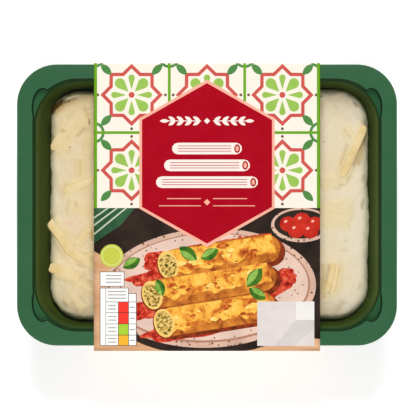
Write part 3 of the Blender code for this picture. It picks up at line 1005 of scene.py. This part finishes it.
def fold_points(before, corner, after):
    """Points of the arc that rounds a fold of the board's outer skin between two straight runs."""
    to_before = (before - corner).normalized()
    to_after = (after - corner).normalized()
    half_angle = to_before.angle(to_after) / 2
    centre = corner + (to_before + to_after).normalized() * (FOLD_RADIUS / math.sin(half_angle))
    reach = FOLD_RADIUS / math.tan(half_angle)
    start = corner + to_before * reach - centre
    end = corner + to_after * reach - centre
    return [centre + start.slerp(end, i / FOLD_STEPS) * FOLD_RADIUS for i in range(FOLD_STEPS + 1)]


def half_section(flap):
    """Outer skin of half the sleeve as (y, z), from the top's middle to a flap under the base."""
    corners = [
        Vector((0, PACK_HEIGHT)),
        Vector((SLEEVE_TOP_HALF, PACK_HEIGHT)),
        Vector((SLEEVE_TOP_HALF, PACK_HEIGHT - SLEEVE_SHOULDER)),
        Vector((SLEEVE_BASE_HALF, 0)),
        Vector((0, 0)),
    ]
    points = [corners[0]]
    for before, corner, after in zip(corners, corners[1:], corners[2:]):
        points += fold_points(before, corner, after)
    return points + [Vector(p) for p in flap]


def sleeve_section():
    """The whole outer skin as (distance along the board, y, z), with 0 at the top's middle."""
    outer_flap = [(-FLAP_HALF, 0)]
    inner_flap = [(FLAP_HALF + FLAP_STEP, 0), (FLAP_HALF, FLAP_LIFT), (-FLAP_HALF, FLAP_LIFT)]
    sides = []
    for flap, sign in ((outer_flap, 1), (inner_flap, -1)):
        points = half_section(flap)
        run = 0.0
        side = [(0.0, 0.0, PACK_HEIGHT)]
        for a, b in zip(points, points[1:]):
            run += (b - a).length
            side.append((sign * run, sign * b.x, b.y))
        sides.append(side)
    return [*reversed(sides[1]), *sides[0][1:]]


SECTION = sleeve_section()


def board_place(u, v):
    """Where a point of the flat board, in mm from the top's middle, lies on the folded sleeve."""
    run = v * MM
    low, high = SECTION[0], SECTION[-1]
    for low, high in zip(SECTION, SECTION[1:]):
        if run <= high[0]:
            break
    share = (run - low[0]) / (high[0] - low[0])
    return Vector((u * MM, *[a + (b - a) * share for a, b in zip(low[1:], high[1:])]))


def turned(a, b, turn, u=0.0, v=0.0):
    """The point (a, b) turned by an angle in radians and moved to u, v."""
    return (u + a * math.cos(turn) - b * math.sin(turn), v + a * math.sin(turn) + b * math.cos(turn))


class Artwork:
    """Shapes printed on the flat board, in mm from the top's middle. Later ones cover earlier ones."""

    def __init__(self):
        self.points = []
        self.shapes = []
        self.inks = []

    def add(self, name, outline, turn=0.0, u=0.0, v=0.0):
        """A shape with straight edges between these points, turned and moved to u, v."""
        outline = [turned(a, b, turn, u, v) for a, b in outline]
        first = len(self.points)
        area = sum(a[0] * b[1] - b[0] * a[1] for a, b in zip(outline, [*outline[1:], outline[0]]))
        self.points += [Vector(p) for p in (outline if area > 0 else reversed(outline))]
        self.shapes.append(list(range(first, len(self.points))))
        self.inks.append(name)

    def box(self, name, left, bottom, right, top):
        self.add(name, [(left, bottom), (right, bottom), (right, top), (left, top)])

    def oval(self, name, u, v, across, up, turn=0.0, count=28, rough=0.0, seed=0.0):
        """An ellipse with half sizes across and up, turned, with an uneven edge if rough is given."""
        outline = []
        for i in range(count):
            a = 2 * math.pi * i / count
            swell = 1 + rough * noise.noise(Vector((math.cos(a) * 1.7, math.sin(a) * 1.7, seed)))
            outline.append((across * swell * math.cos(a), up * swell * math.sin(a)))
        self.add(name, outline, turn, u, v)

    def petal(self, name, u, v, length, width, turn, count=9):
        """A drop with its point at u, v and its round end away along turn."""
        radius = width / 2
        angles = steps(-1.9, 1.9, count)
        arc = [(length - radius + radius * math.cos(a), radius * math.sin(a)) for a in angles]
        self.add(name, [(0, 0), *arc], turn, u, v)

    def leaf(self, name, u, v, length, width, turn, count=9):
        """A leaf pointed at both ends, from u, v along turn."""
        upper = [(t * length, width / 2 * math.sin(math.pi * t) ** 0.8) for t in steps(0.0, 1.0, count)]
        self.add(name, upper + [(a, -b) for a, b in reversed(upper[1:-1])], turn, u, v)

    def bar(self, name, u, v, length, width, turn, ends=6):
        """A bar with round ends, centred on u, v."""
        reach = length / 2 - width / 2
        outline = []
        for side in (1, -1):
            for a in steps(-math.pi / 2, math.pi / 2, ends):
                outline.append((side * (reach + width / 2 * math.cos(a)), side * width / 2 * math.sin(a)))
        self.add(name, outline, turn, u, v)

    def band(self, name, bottom, top):
        """A box right across the board."""
        self.box(name, -BOARD_HALF, bottom, BOARD_HALF, top)

    def diamond(self, name, u, v, reach):
        self.add(name, [(u - reach, v), (u, v - reach), (u + reach, v), (u, v + reach)])

    def rule(self, name, left, right, v):
        """A thin level line."""
        self.box(name, left, v - RULE_HALF, right, v + RULE_HALF)


BOARD_HALF = SLEEVE_HIGH.x / MM
BOARD_LOW = SECTION[0][0] / MM
BOARD_HIGH = SECTION[-1][0] / MM
SIDE_END = 112.5
PICTURE_TOP = -0.5
RULE_HALF = 0.22
QUARTERS = [math.pi / 2 * i for i in range(4)]

# Tiles
TILE_ROWS = 3
TILE = (SIDE_END - PICTURE_TOP) / TILE_ROWS
GROUT = 1.4
EDGE_BAND = 1.6
STAR_WAIST = 0.77
# Rings of the roundel where tiles meet: ink, radius, points
ROUNDEL = (("leaf_green", 5.4, 36), ("cream", 4.0, 32))
ROUNDEL_HEART = ("tile_red", 1.6, 16)


def draw_tile(art, u, v):
    """An eight-pointed star with a flower in it, and dark leaves in the tile's corners."""
    for name, outer in (("tile_red", 15.6), ("cream", 13.2)):
        reaches = (outer, outer * STAR_WAIST)
        art.add(name, [turned(reaches[i % 2], 0, math.pi * i / 8, u, v) for i in range(16)])
    for straight in QUARTERS:
        diagonal = straight + math.pi / 4
        art.petal("petal_green", *turned(2.2, 0, diagonal, u, v), 8.6, 5.2, diagonal)
        art.leaf("leaf_green", *turned(14.2, 0, diagonal, u, v), 7.6, 3.6, diagonal)
        art.petal("petal_green", *turned(2.6, 0, straight, u, v), 7.6, 3.2, straight)
        art.oval("tile_dot", *turned(16.9, 0, straight, u, v), 0.75, 0.75, count=12)
    art.oval("tile_red", u, v, 1.5, 1.5, count=16)


def draw_roundel(art, u, v):
    """The roundel where four tiles meet."""
    for name, radius, count in ROUNDEL:
        art.oval(name, u, v, radius, radius, count=count)
    for turn in QUARTERS:
        diagonal = turn + math.pi / 4
        art.petal("tile_red", *turned(0.9, 0, diagonal, u, v), 2.7, 1.8, diagonal, count=7)


def draw_half_roundel(art, side, v):
    """The half of a roundel that is left at the board's edge."""
    for name, radius, _ in (*ROUNDEL, ROUNDEL_HEART):
        arc = [(-radius * math.cos(a), radius * math.sin(a)) for a in steps(-math.pi / 2, math.pi / 2, 17)]
        art.add(name, [(side * (BOARD_HALF + a), v + b) for a, b in arc])


def draw_tiles(art):
    """Three rows of tiles, which run on over the fold and down the side."""
    art.band("cream", PICTURE_TOP, SIDE_END)
    for u in (-TILE, 0.0, TILE):
        for row in range(TILE_ROWS):
            draw_tile(art, u, PICTURE_TOP + TILE * (row + 0.5))
    joints = [PICTURE_TOP + TILE * row for row in range(1, TILE_ROWS)]
    for v in joints:
        draw_roundel(art, -TILE / 2, v)
        draw_roundel(art, TILE / 2, v)
        draw_half_roundel(art, -1, v)
        draw_half_roundel(art, 1, v)
    for v in joints:
        art.band("grout_green", v - GROUT / 2, v + GROUT / 2)
    for side in (-1, 1):
        joint = side * TILE / 2
        art.box("grout_green", joint - GROUT / 2, PICTURE_TOP, joint + GROUT / 2, SIDE_END)
        art.box("grout_green", side * (BOARD_HALF - EDGE_BAND), PICTURE_TOP, side * BOARD_HALF, SIDE_END)


# Label: a six-sided panel
LABEL_HALF = 32.5
LABEL_SHOULDER = 43.5
LABEL_WAIST = 0.0
LABEL_TOP = 61.9
LABEL_POINT = -18.3
LABEL_BORDER = 1.3


def label_outline(by):
    side = LABEL_HALF + by
    low, high = LABEL_WAIST - by * 0.6, LABEL_SHOULDER + by * 0.6
    point, top = LABEL_POINT - by * 1.35, LABEL_TOP + by * 1.35
    return [(0, point), (side, low), (side, high), (0, top), (-side, high), (-side, low)]


def draw_label(art):
    """The red panel with its pale border, three pasta tubes, a sprig above them and rules below."""
    art.add("salmon", label_outline(LABEL_BORDER))
    art.add("label_red", label_outline(0.0))
    draw_sprigs(art, 43.0)
    for v, length in ((29.2, 35.0), (20.8, 43.0), (12.4, 51.0)):
        draw_label_tube(art, v, length)
    for v, reach in ((4.2, 20.0), (0.6, 24.0)):
        art.rule("salmon", -reach, -3.0, v)
        art.rule("salmon", 3.0, reach, v)
    art.diamond("salmon", 0, 2.4, 1.6)


def draw_sprigs(art, v):
    """Two leafy sprigs that point away from a diamond."""
    art.diamond("label_cream", 0, v, 1.5)
    for side, ahead in ((-1, math.pi), (1, 0.0)):
        art.rule("label_cream", side * 3.0, side * 19.5, v)
        for start in (3.4, 7.5, 11.6, 15.7):
            for lean in (0.55, -0.55):
                art.leaf("label_cream", side * start, v, 4.2, 1.7, ahead + lean)
        art.leaf("label_cream", side * 19.0, v, 4.6, 1.8, ahead)


def draw_label_tube(art, v, length):
    """One pasta tube, lying level: ridged, with its open end to the right."""
    art.bar("label_cream", 0, v, length, 5.8, 0.0)
    for offset in (-1.3, 0.0, 1.3):
        art.box("label_red", -length / 2 + 3.0, v + offset - 0.17, length / 2 - 5.4, v + offset + 0.17)
    art.oval("label_red", length / 2 - 2.4, v, 1.5, 2.2, count=18)
    art.oval("salmon", length / 2 - 2.4, v, 0.8, 1.4, count=14)


# Serving picture: a plate of baked tubes
TUBE_TURN = 0.16
PLATE_TURN = 0.04
PICTURE_SEED = 11
# The plate's rings: ink, u, v, half sizes, corners
PLATE = (
    ("slate", 2, -44.5, 54.5, 29.6, 64),
    ("plate_rim", 1, -40.5, 53.5, 29.8, 72),
    ("plate_line", 1, -40.3, 50.6, 27.4, 72),
    ("plate", 1, -40.0, 49.6, 26.6, 72),
)
# Tubes on the plate: u, v, length
BAKED_TUBES = ((7, -24.5, 60), (2, -39.0, 66), (5, -53.5, 60))
TUBE_WIDTH = 14.5
# Pools of tomato sauce: u, v, half sizes
POOLS = (
    (-8, -32, 30, 6),
    (12, -46, 30, 6),
    (-6, -60.5, 26, 4.6),
    (32, -55, 9, 5),
    (-33, -52, 8, 5),
    (-24, -27, 9, 4.5),
    (38, -36, 8, 5),
    (10, -18.5, 22, 3),
)
# Patches on a tube: ink, count, reach along and across as shares of the tube, sizes
PATCHES = (
    ("browned", 9, 0.36, 0.3, 1.2, 2.9),
    ("baked_light", 8, 0.38, 0.24, 1.0, 2.6),
    ("deep_sauce", 7, 0.4, 0.34, 0.35, 0.8),
    ("basil_dark", 12, 0.42, 0.36, 0.2, 0.45),
)
# Basil leaves: root u, v, length, heading
BASIL_LEAVES = (
    (-5.0, -26.5, 11, 2.5),
    (-3.0, -26.0, 10, 0.5),
    (20.0, -40.0, 12, 0.9),
    (21.0, -40.5, 10, -0.6),
    (-22.0, -44.5, 9, 1.9),
    (-42.0, -30.5, 10, 0.5),
    (30.0, -62.5, 9, 0.2),
)
# Tomatoes in the bowl: u and v from the bowl's middle, size
TOMATOES = ((-6.5, 0.5, 4.2), (0.5, 2.2, 4.4), (7.0, 0.6, 4.0), (-2.4, -2.6, 4.3), (4.6, -3.0, 4.1))


def draw_picture(art):
    """Dark slate above, wood below, a plate with three baked tubes on tomato sauce, and basil leaves."""
    art.band("slate", -SIDE_END, PICTURE_TOP)
    corners = [(-BOARD_HALF, -SIDE_END), (BOARD_HALF, -SIDE_END)]
    art.add("wood", [*corners, (BOARD_HALF, -66), (8, -60), (-BOARD_HALF, -22)])
    draw_bowl(art, 47, -9)
    draw_cloth(art)
    for name, u, v, across, up, count in PLATE:
        art.oval(name, u, v, across, up, PLATE_TURN, count)
    draw_sauce_pools(art)
    for u, v, length in BAKED_TUBES:
        draw_baked_tube(art, u, v, length)
    for u, v, length, turn in BASIL_LEAVES:
        art.leaf("basil_dark", u, v, length, length * 0.56, turn)
        art.leaf("basil_light", *turned(0.5, 0.7, turn, u, v), length * 0.86, length * 0.26, turn + 0.06)


def draw_sauce_pools(art):
    """Tomato sauce that runs out from under the tubes, with deeper red lumps in it."""
    for seed, (u, v, across, up) in enumerate(POOLS):
        art.oval("tomato", u, v, across, up, TUBE_TURN, count=40, rough=0.45, seed=seed)
    rng = random.Random(PICTURE_SEED)
    for u, v, across, up in POOLS:
        for _ in range(5):
            along, aside = rng.uniform(-0.8, 0.8) * across, rng.uniform(-0.8, 0.8) * up
            x, y = turned(along, aside, TUBE_TURN, u, v)
            size = rng.uniform(0.9, 1.9)
            art.oval("tomato_skin", x, y, size, size * 0.7, rng.uniform(0, 3), count=10)
            art.oval("salmon", x - size * 0.3, y + size * 0.3, size * 0.25, size * 0.14, count=6)


def draw_baked_tube(art, u, v, length):
    """One tube: its shadow, the pasta's darker lower side, its cut end, and cheese browned in patches."""
    shadow = turned(1.2, -2.0, TUBE_TURN, u, v)
    art.bar("deep_sauce", *shadow, length + 2, TUBE_WIDTH, TUBE_TURN, ends=10)
    art.bar("baked_shade", u, v, length, TUBE_WIDTH, TUBE_TURN, ends=10)
    draw_melted_top(art, u, v, length)
    rng = random.Random(round(u * 10 + v))
    for name, count, along, aside, *sizes in PATCHES:
        draw_patches(art, rng, name, count, (u, v), (length * along, TUBE_WIDTH * aside), sizes)
    end = turned(-length / 2 + 3.2, -0.3, TUBE_TURN, u, v)
    turn = TUBE_TURN + 0.1
    art.oval("deep_sauce", end[0] - 0.3, end[1] - 0.5, 5.2, TUBE_WIDTH * 0.52, turn, count=30)
    art.oval("pasta_edge", *end, 5.0, TUBE_WIDTH * 0.5, turn, count=30)
    art.oval("filling", *end, 4.1, TUBE_WIDTH * 0.41, turn, rough=0.15, seed=u)


def draw_melted_top(art, u, v, length):
    """Melted cheese over the tube, with a wavy lower edge where it runs down."""
    outline = [(a, TUBE_WIDTH * 0.46) for a in steps(length * 0.44, -length * 0.44, 12)]
    for a in steps(-length * 0.46, length * 0.46, 34):
        run = noise.noise(Vector((a / 4.2, u, v)))
        outline.append((a, -TUBE_WIDTH * (0.22 + 0.34 * run)))
    art.add("baked_cheese", outline, TUBE_TURN, u, v)


def draw_patches(art, rng, name, count, middle, reach, sizes):
    """Uneven patches of one colour scattered over a tube."""
    for _ in range(count):
        along = rng.uniform(-1, 1) * reach[0]
        aside = rng.uniform(-1, 1) * reach[1] + 0.8
        size = rng.uniform(*sizes)
        place = turned(along, aside, TUBE_TURN, *middle)
        art.oval(name, *place, size, size * 0.5, TUBE_TURN, count=12, rough=0.5, seed=along)


def draw_bowl(art, u, v):
    """A small bowl of tomatoes at the picture's corner."""
    art.oval("plate_rim", u, v, 15, 8.6, count=40)
    art.oval("slate", u, v + 0.4, 13.4, 7.2, count=40)
    for du, dv, size in TOMATOES:
        art.oval("tomato_skin", u + du, v + dv, size, size * 0.9, count=22)
        art.oval("salmon", u + du - 1.2, v + dv + 1.3, size * 0.22, size * 0.16, 0.5, count=10)


def draw_cloth(art):
    """The corner of a folded green cloth with pale stripes."""
    art.add("cloth", [(-BOARD_HALF, PICTURE_TOP), (-36, PICTURE_TOP), (-43, -9), (-BOARD_HALF, -18)])
    for u, v in ((-41, -12.0), (-45.5, -7.5), (-50, -3.8)):
        upper = [(u, PICTURE_TOP), (u + 1.1, PICTURE_TOP)]
        art.add("cloth_stripe", [*upper, (-BOARD_HALF, v - 2.2), (-BOARD_HALF, v - 1.1)])


# Small panels: the table's row heights, and the colours of its cells from the lowest row up
TABLE_ROWS = (-69.2, -64.0, -58.4, -52.8, -47.4)
TABLE_CELLS = ("amber", "cell_green", "cell_red", "cell_red")
BORDER = 0.14


def draw_panels(art):
    """The lime disc, the table with its coloured cells, and the blank box."""
    for name, radius, count in (("lime", 5.8, 44), ("lime_light", 4.9, 40), ("lime", 4.5, 40)):
        art.oval(name, -47.6, -24.4, radius, radius, count=count)
    draw_table(art)
    art.box("date_box", 25.1, -69.4, 53.6, -47.2)
    art.add("date_box_light", [(44.4, -47.2), (53.6, -47.2), (53.6, -56.4), (44.4, -56.4)])
    art.add("date_box_shade", [(33.5, -69.4), (43.5, -69.4), (53.6, -60.5), (53.6, -56.4), (44.4, -56.4)])


def draw_table(art):
    """White boxes ruled in black: two head boxes, and four rows with a coloured cell each."""
    bordered(art, "table_white", -53.4, -39.6, -41.4, -32.4)
    dashes(art, -50.6, -42.8, (-34.2, -35.9, -37.6))
    bordered(art, "table_white", -53.4, TABLE_ROWS[0], -39.2, -40.5)
    bordered(art, "table_white", -39.2, TABLE_ROWS[0], -35.3, -43.2)
    art.box("table_grey", -50.7, TABLE_ROWS[0], -50.4, -40.5)
    dashes(art, -49.5, -40.5, (-42.2, -43.9, -45.6))
    for low, high, cell in zip(TABLE_ROWS, TABLE_ROWS[1:], TABLE_CELLS):
        bordered(art, cell, -44.3, low, -39.2, high)
        art.box("table_line", -50.4, high - 0.12, -35.3, high + 0.12)
        middle = (low + high) / 2
        dashes(art, -49.4, -45.4, (middle + 0.9, middle - 0.9))
        dashes(art, -38.6, -36.0, (middle,))


def bordered(art, name, left, bottom, right, top):
    art.box("table_line", left - BORDER, bottom - BORDER, right + BORDER, top + BORDER)
    art.box(name, left + BORDER, bottom + BORDER, right - BORDER, top - BORDER)


def dashes(art, left, right, rows):
    """Short grey rules, one to each height."""
    for v in rows:
        art.rule("table_grey", left, right, v)


# Flat colours of the tiles, the label and the small panels: name, red, green, blue, unevenness
PLAIN_INKS = (
    ("cream", 249, 241, 226, 2),
    ("grout_green", 112, 168, 36, 4),
    ("petal_green", 156, 196, 88, 4),
    ("leaf_green", 84, 140, 74, 4),
    ("tile_red", 208, 88, 80, 4),
    ("tile_dot", 120, 92, 66, 4),
    ("label_red", 172, 2, 28, 3),
    ("salmon", 250, 180, 156, 4),
    ("label_cream", 255, 238, 228, 1),
    ("lime", 200, 204, 78, 4),
    ("lime_light", 228, 230, 150, 4),
    ("table_white", 252, 250, 247, 2),
    ("table_grey", 150, 146, 142, 4),
    ("table_line", 46, 42, 40, 4),
    ("cell_red", 246, 62, 50, 4),
    ("cell_green", 170, 208, 58, 4),
    ("amber", 252, 184, 52, 4),
    ("date_box", 228, 218, 213, 5),
    ("date_box_light", 241, 236, 232, 3),
    ("date_box_shade", 215, 208, 203, 5),
    ("plate_line", 182, 130, 106, 4),
    ("pasta_edge", 248, 206, 116, 4),
    ("cloth_stripe", 206, 214, 186, 4),
)
# Cloudy colours of the serving picture: name, cloud size in mm, then stops of position and colour
CLOUDY_INKS = (
    ("slate", 20, (0.3, 32, 25, 23), (0.7, 62, 48, 40)),
    ("tomato", 2.2, (0.34, 122, 22, 12), (0.46, 196, 48, 32), (0.58, 224, 86, 62), (0.70, 240, 142, 96)),
    ("deep_sauce", 3, (0.35, 84, 34, 16), (0.65, 158, 62, 28)),
    ("baked_shade", 5, (0.32, 138, 62, 26), (0.52, 206, 120, 44), (0.7, 232, 152, 62)),
    ("baked_light", 4, (0.34, 244, 170, 66), (0.5, 255, 212, 104), (0.7, 255, 230, 150)),
    ("browned", 2.2, (0.34, 140, 56, 22), (0.5, 196, 92, 34), (0.66, 228, 140, 56)),
    ("basil_dark", 4, (0.3, 38, 84, 22), (0.7, 86, 136, 44)),
    ("basil_light", 4, (0.3, 108, 158, 60), (0.7, 160, 200, 96)),
    ("tomato_skin", 6, (0.3, 168, 24, 20), (0.7, 216, 56, 40)),
    ("cloth", 5, (0.3, 40, 78, 52), (0.7, 64, 108, 74)),
)
BAKED_CHEESE = (
    (0.30, 150, 62, 26),
    (0.40, 214, 118, 44),
    (0.50, 248, 178, 66),
    (0.62, 253, 205, 92),
    (0.74, 240, 150, 52),
)
FILLING = ((0.36, 70, 74, 26), (0.44, 150, 120, 48), (0.52, 226, 186, 96), (0.66, 240, 214, 140))
WOOD = ((0.3, 206, 150, 104), (0.7, 238, 190, 150))
WOOD_GRAIN = ((0.2, 1, 1), 0.5)


def coated_ink(name):
    """The board's smooth coat, slightly uneven in gloss and with a fine tooth; its colour comes after."""
    look = Look(name, specular=0.08)
    look.rough(look.noise(14 * MM, Detail=4), 0.42, 0.54)
    return look.bump(look.noise(0.35 * MM), 0.006 * MM)


def plain_ink(name, red, green, blue, spread):
    """A printed colour with the faint unevenness of ink on board."""
    look = coated_ink(name)
    dark = [max(0, c - spread) for c in (red, green, blue)]
    light = [min(255, c + spread) for c in (red, green, blue)]
    cloud = look.noise(9 * MM, Detail=5, Roughness=0.7)
    return look.colour(look.ramp(cloud, (0.35, *dark), (0.65, *light)))


def cloudy_ink(name, size, *stops, detail=4, stretch=None):
    """A printed picture colour that varies in clouds of this size in mm."""
    look = coated_ink(name)
    place = look.stretched(*stretch) if stretch else look.place
    cloud = look.noise(size * MM, Detail=detail, Roughness=0.6, Distortion=0.4, Vector=place)
    return look.colour(look.ramp(cloud, *stops))


def speckled_ink(name, size, low, high, speck, share):
    """A printed picture colour with scattered dots in cells of this size in mm."""
    look = coated_ink(name)
    base = look.ramp(look.noise(12 * MM, Detail=4), (0.3, *low), (0.7, *high))
    dots = look.ramp(look.cells(size * MM), (share, 255, 255, 255), (share + 0.08, 0, 0, 0))
    return look.colour(look.mix(dots, base, ink(*speck)))


def board_look():
    """The uncoated grey inside of the board."""
    look = Look("raw_board", specular=0.2, roughness=0.85)
    fibre = look.noise(1.2 * MM, Detail=5, Roughness=0.7)
    look.colour(look.ramp(fibre, (0.3, 196, 186, 170), (0.7, 222, 214, 200)))
    return look.bump(fibre, 0.03 * MM)


def sleeve_looks():
    """Every printed colour, and last the inside of the board."""
    return [
        *[plain_ink(*row) for row in PLAIN_INKS],
        *[cloudy_ink(*row) for row in CLOUDY_INKS],
        cloudy_ink("wood", 9, *WOOD, stretch=WOOD_GRAIN),
        cloudy_ink("baked_cheese", 5.5, *BAKED_CHEESE),
        cloudy_ink("filling", 1.3, *FILLING, detail=2),
        speckled_ink("plate_rim", 2.2, (206, 168, 148), (232, 194, 172), (126, 84, 62), 0.22),
        speckled_ink("plate", 2.6, (222, 190, 174), (240, 208, 190), (150, 112, 92), 0.14),
        board_look(),
    ]


def draw_artwork():
    """The whole print, from the board's ground colour up."""
    art = Artwork()
    art.band("cream", BOARD_LOW, BOARD_HIGH)
    draw_picture(art)
    draw_tiles(art)
    for side in (-1, 1):
        art.band("grout_green", side * (SIDE_END + 3), side * (SIDE_END + 4.4))
    draw_label(art)
    draw_panels(art)
    return art


def printed_faces(art):
    """The board cut along every printed edge and fold: its points, and its faces with their inks."""
    points = list(art.points)
    edges = []
    for run, _, _ in SECTION[1:-1]:
        edges.append((len(points), len(points) + 1))
        points += [Vector((-BOARD_HALF, run / MM)), Vector((BOARD_HALF, run / MM))]
    verts, _, faces, _, _, origins = geometry.delaunay_2d_cdt(points, edges, art.shapes, 0, 0.0001)
    return verts, [(face, art.inks[max(origin)]) for face, origin in zip(faces, origins) if 0 in origin]


def make_sleeve():
    """The printed board, folded round the tray, with a raw inside and cut edges."""
    verts, faces = printed_faces(draw_artwork())
    looks = sleeve_looks()
    slots = {look.material.name: i for i, look in enumerate(looks)}
    bm = bmesh.new()
    places = [bm.verts.new(board_place(p.x, p.y)) for p in verts]
    for face, name in faces:
        bm.faces.new([places[i] for i in face]).material_index = slots[name]
    bmesh.ops.delete(bm, geom=[v for v in bm.verts if not v.link_faces], context="VERTS")
    obj = finish_mesh("printed_sleeve", bm, looks)
    solid = obj.modifiers.new("board thickness", "SOLIDIFY")
    solid.thickness = CARD
    solid.offset = -1
    solid.material_offset = len(looks)
    solid.material_offset_rim = len(looks)
    stand_in(obj, "sleeve")


# Stage

WHITE = (1, 1, 1, 1)
FLOOR_COLOUR = (0.95, 0.95, 0.95, 1.0)
FLOOR_GLOW = 0.34
WORLD_GLOW = 0.19
LIGHT_SIZE = (0.4, 0.9)
LIGHT_HEIGHT = 1.15
# Lights round the pack: name, x and y in metres, power
LIGHTS = (
    ("key", -0.12, 1.3, 12.0),
    ("fill_right", 0.12, 1.3, 10.2),
    ("fill_front", -0.12, -1.3, 9.5),
    ("fill_corner", 0.12, -1.3, 9.3),
)
# Camera: the photograph's frame laid over the plane of the rim
PHOTO_PIXELS = 414
PIXEL = 0.5 * MM
CAMERA_DISTANCE = 1.2
SENSOR = 36.0


def area_light(name, place, power):
    """A soft box, narrow along X so that the sleeve throws little shade on the food beside it."""
    light = bpy.data.lights.new(name, "AREA")
    light.shape = "RECTANGLE"
    light.size, light.size_y = LIGHT_SIZE
    light.energy = power
    obj = linked(name, light)
    obj.location = place
    obj.rotation_euler = (-Vector(place)).to_track_quat("-Z", "Y").to_euler()


def make_stage():
    """White floor, four soft lights round the pack and a dim plain world, so that level faces stay deep."""
    bm = bmesh.new()
    bmesh.ops.create_grid(bm, x_segments=1, y_segments=1, size=3.0)
    look = Look("white_floor", specular=0.1, roughness=0.8)
    look.colour(FLOOR_COLOUR)
    look.join(WHITE, look.shader.inputs["Emission Color"])
    look.join(FLOOR_GLOW, look.shader.inputs["Emission Strength"])
    finish_mesh("floor", bm, [look])
    world = bpy.data.worlds.new("studio")
    world.use_nodes = True
    background = world.node_tree.nodes["Background"].inputs
    background["Color"].default_value = WHITE
    background["Strength"].default_value = WORLD_GLOW
    bpy.context.scene.world = world
    for name, x, y, power in LIGHTS:
        area_light(name, (x, y, LIGHT_HEIGHT), power)


def make_camera():
    """Straight down over the pack's centre, with one photo pixel to each PIXEL of the rim's plane."""
    camera = bpy.data.cameras.new("photo")
    camera.sensor_width = SENSOR
    camera.lens = SENSOR * CAMERA_DISTANCE / (PHOTO_PIXELS * PIXEL)
    obj = linked("photo", camera)
    obj.location = (0, 0, RIM_Z + CAMERA_DISTANCE)
    bpy.context.scene.camera = obj


bpy.context.scene.view_settings.view_transform = "Standard"
make_camera()
make_stage()
make_tray()
make_food()
make_cheese()
make_flecks()
make_film()
make_sleeve()

bpy.context.view_layer.update()
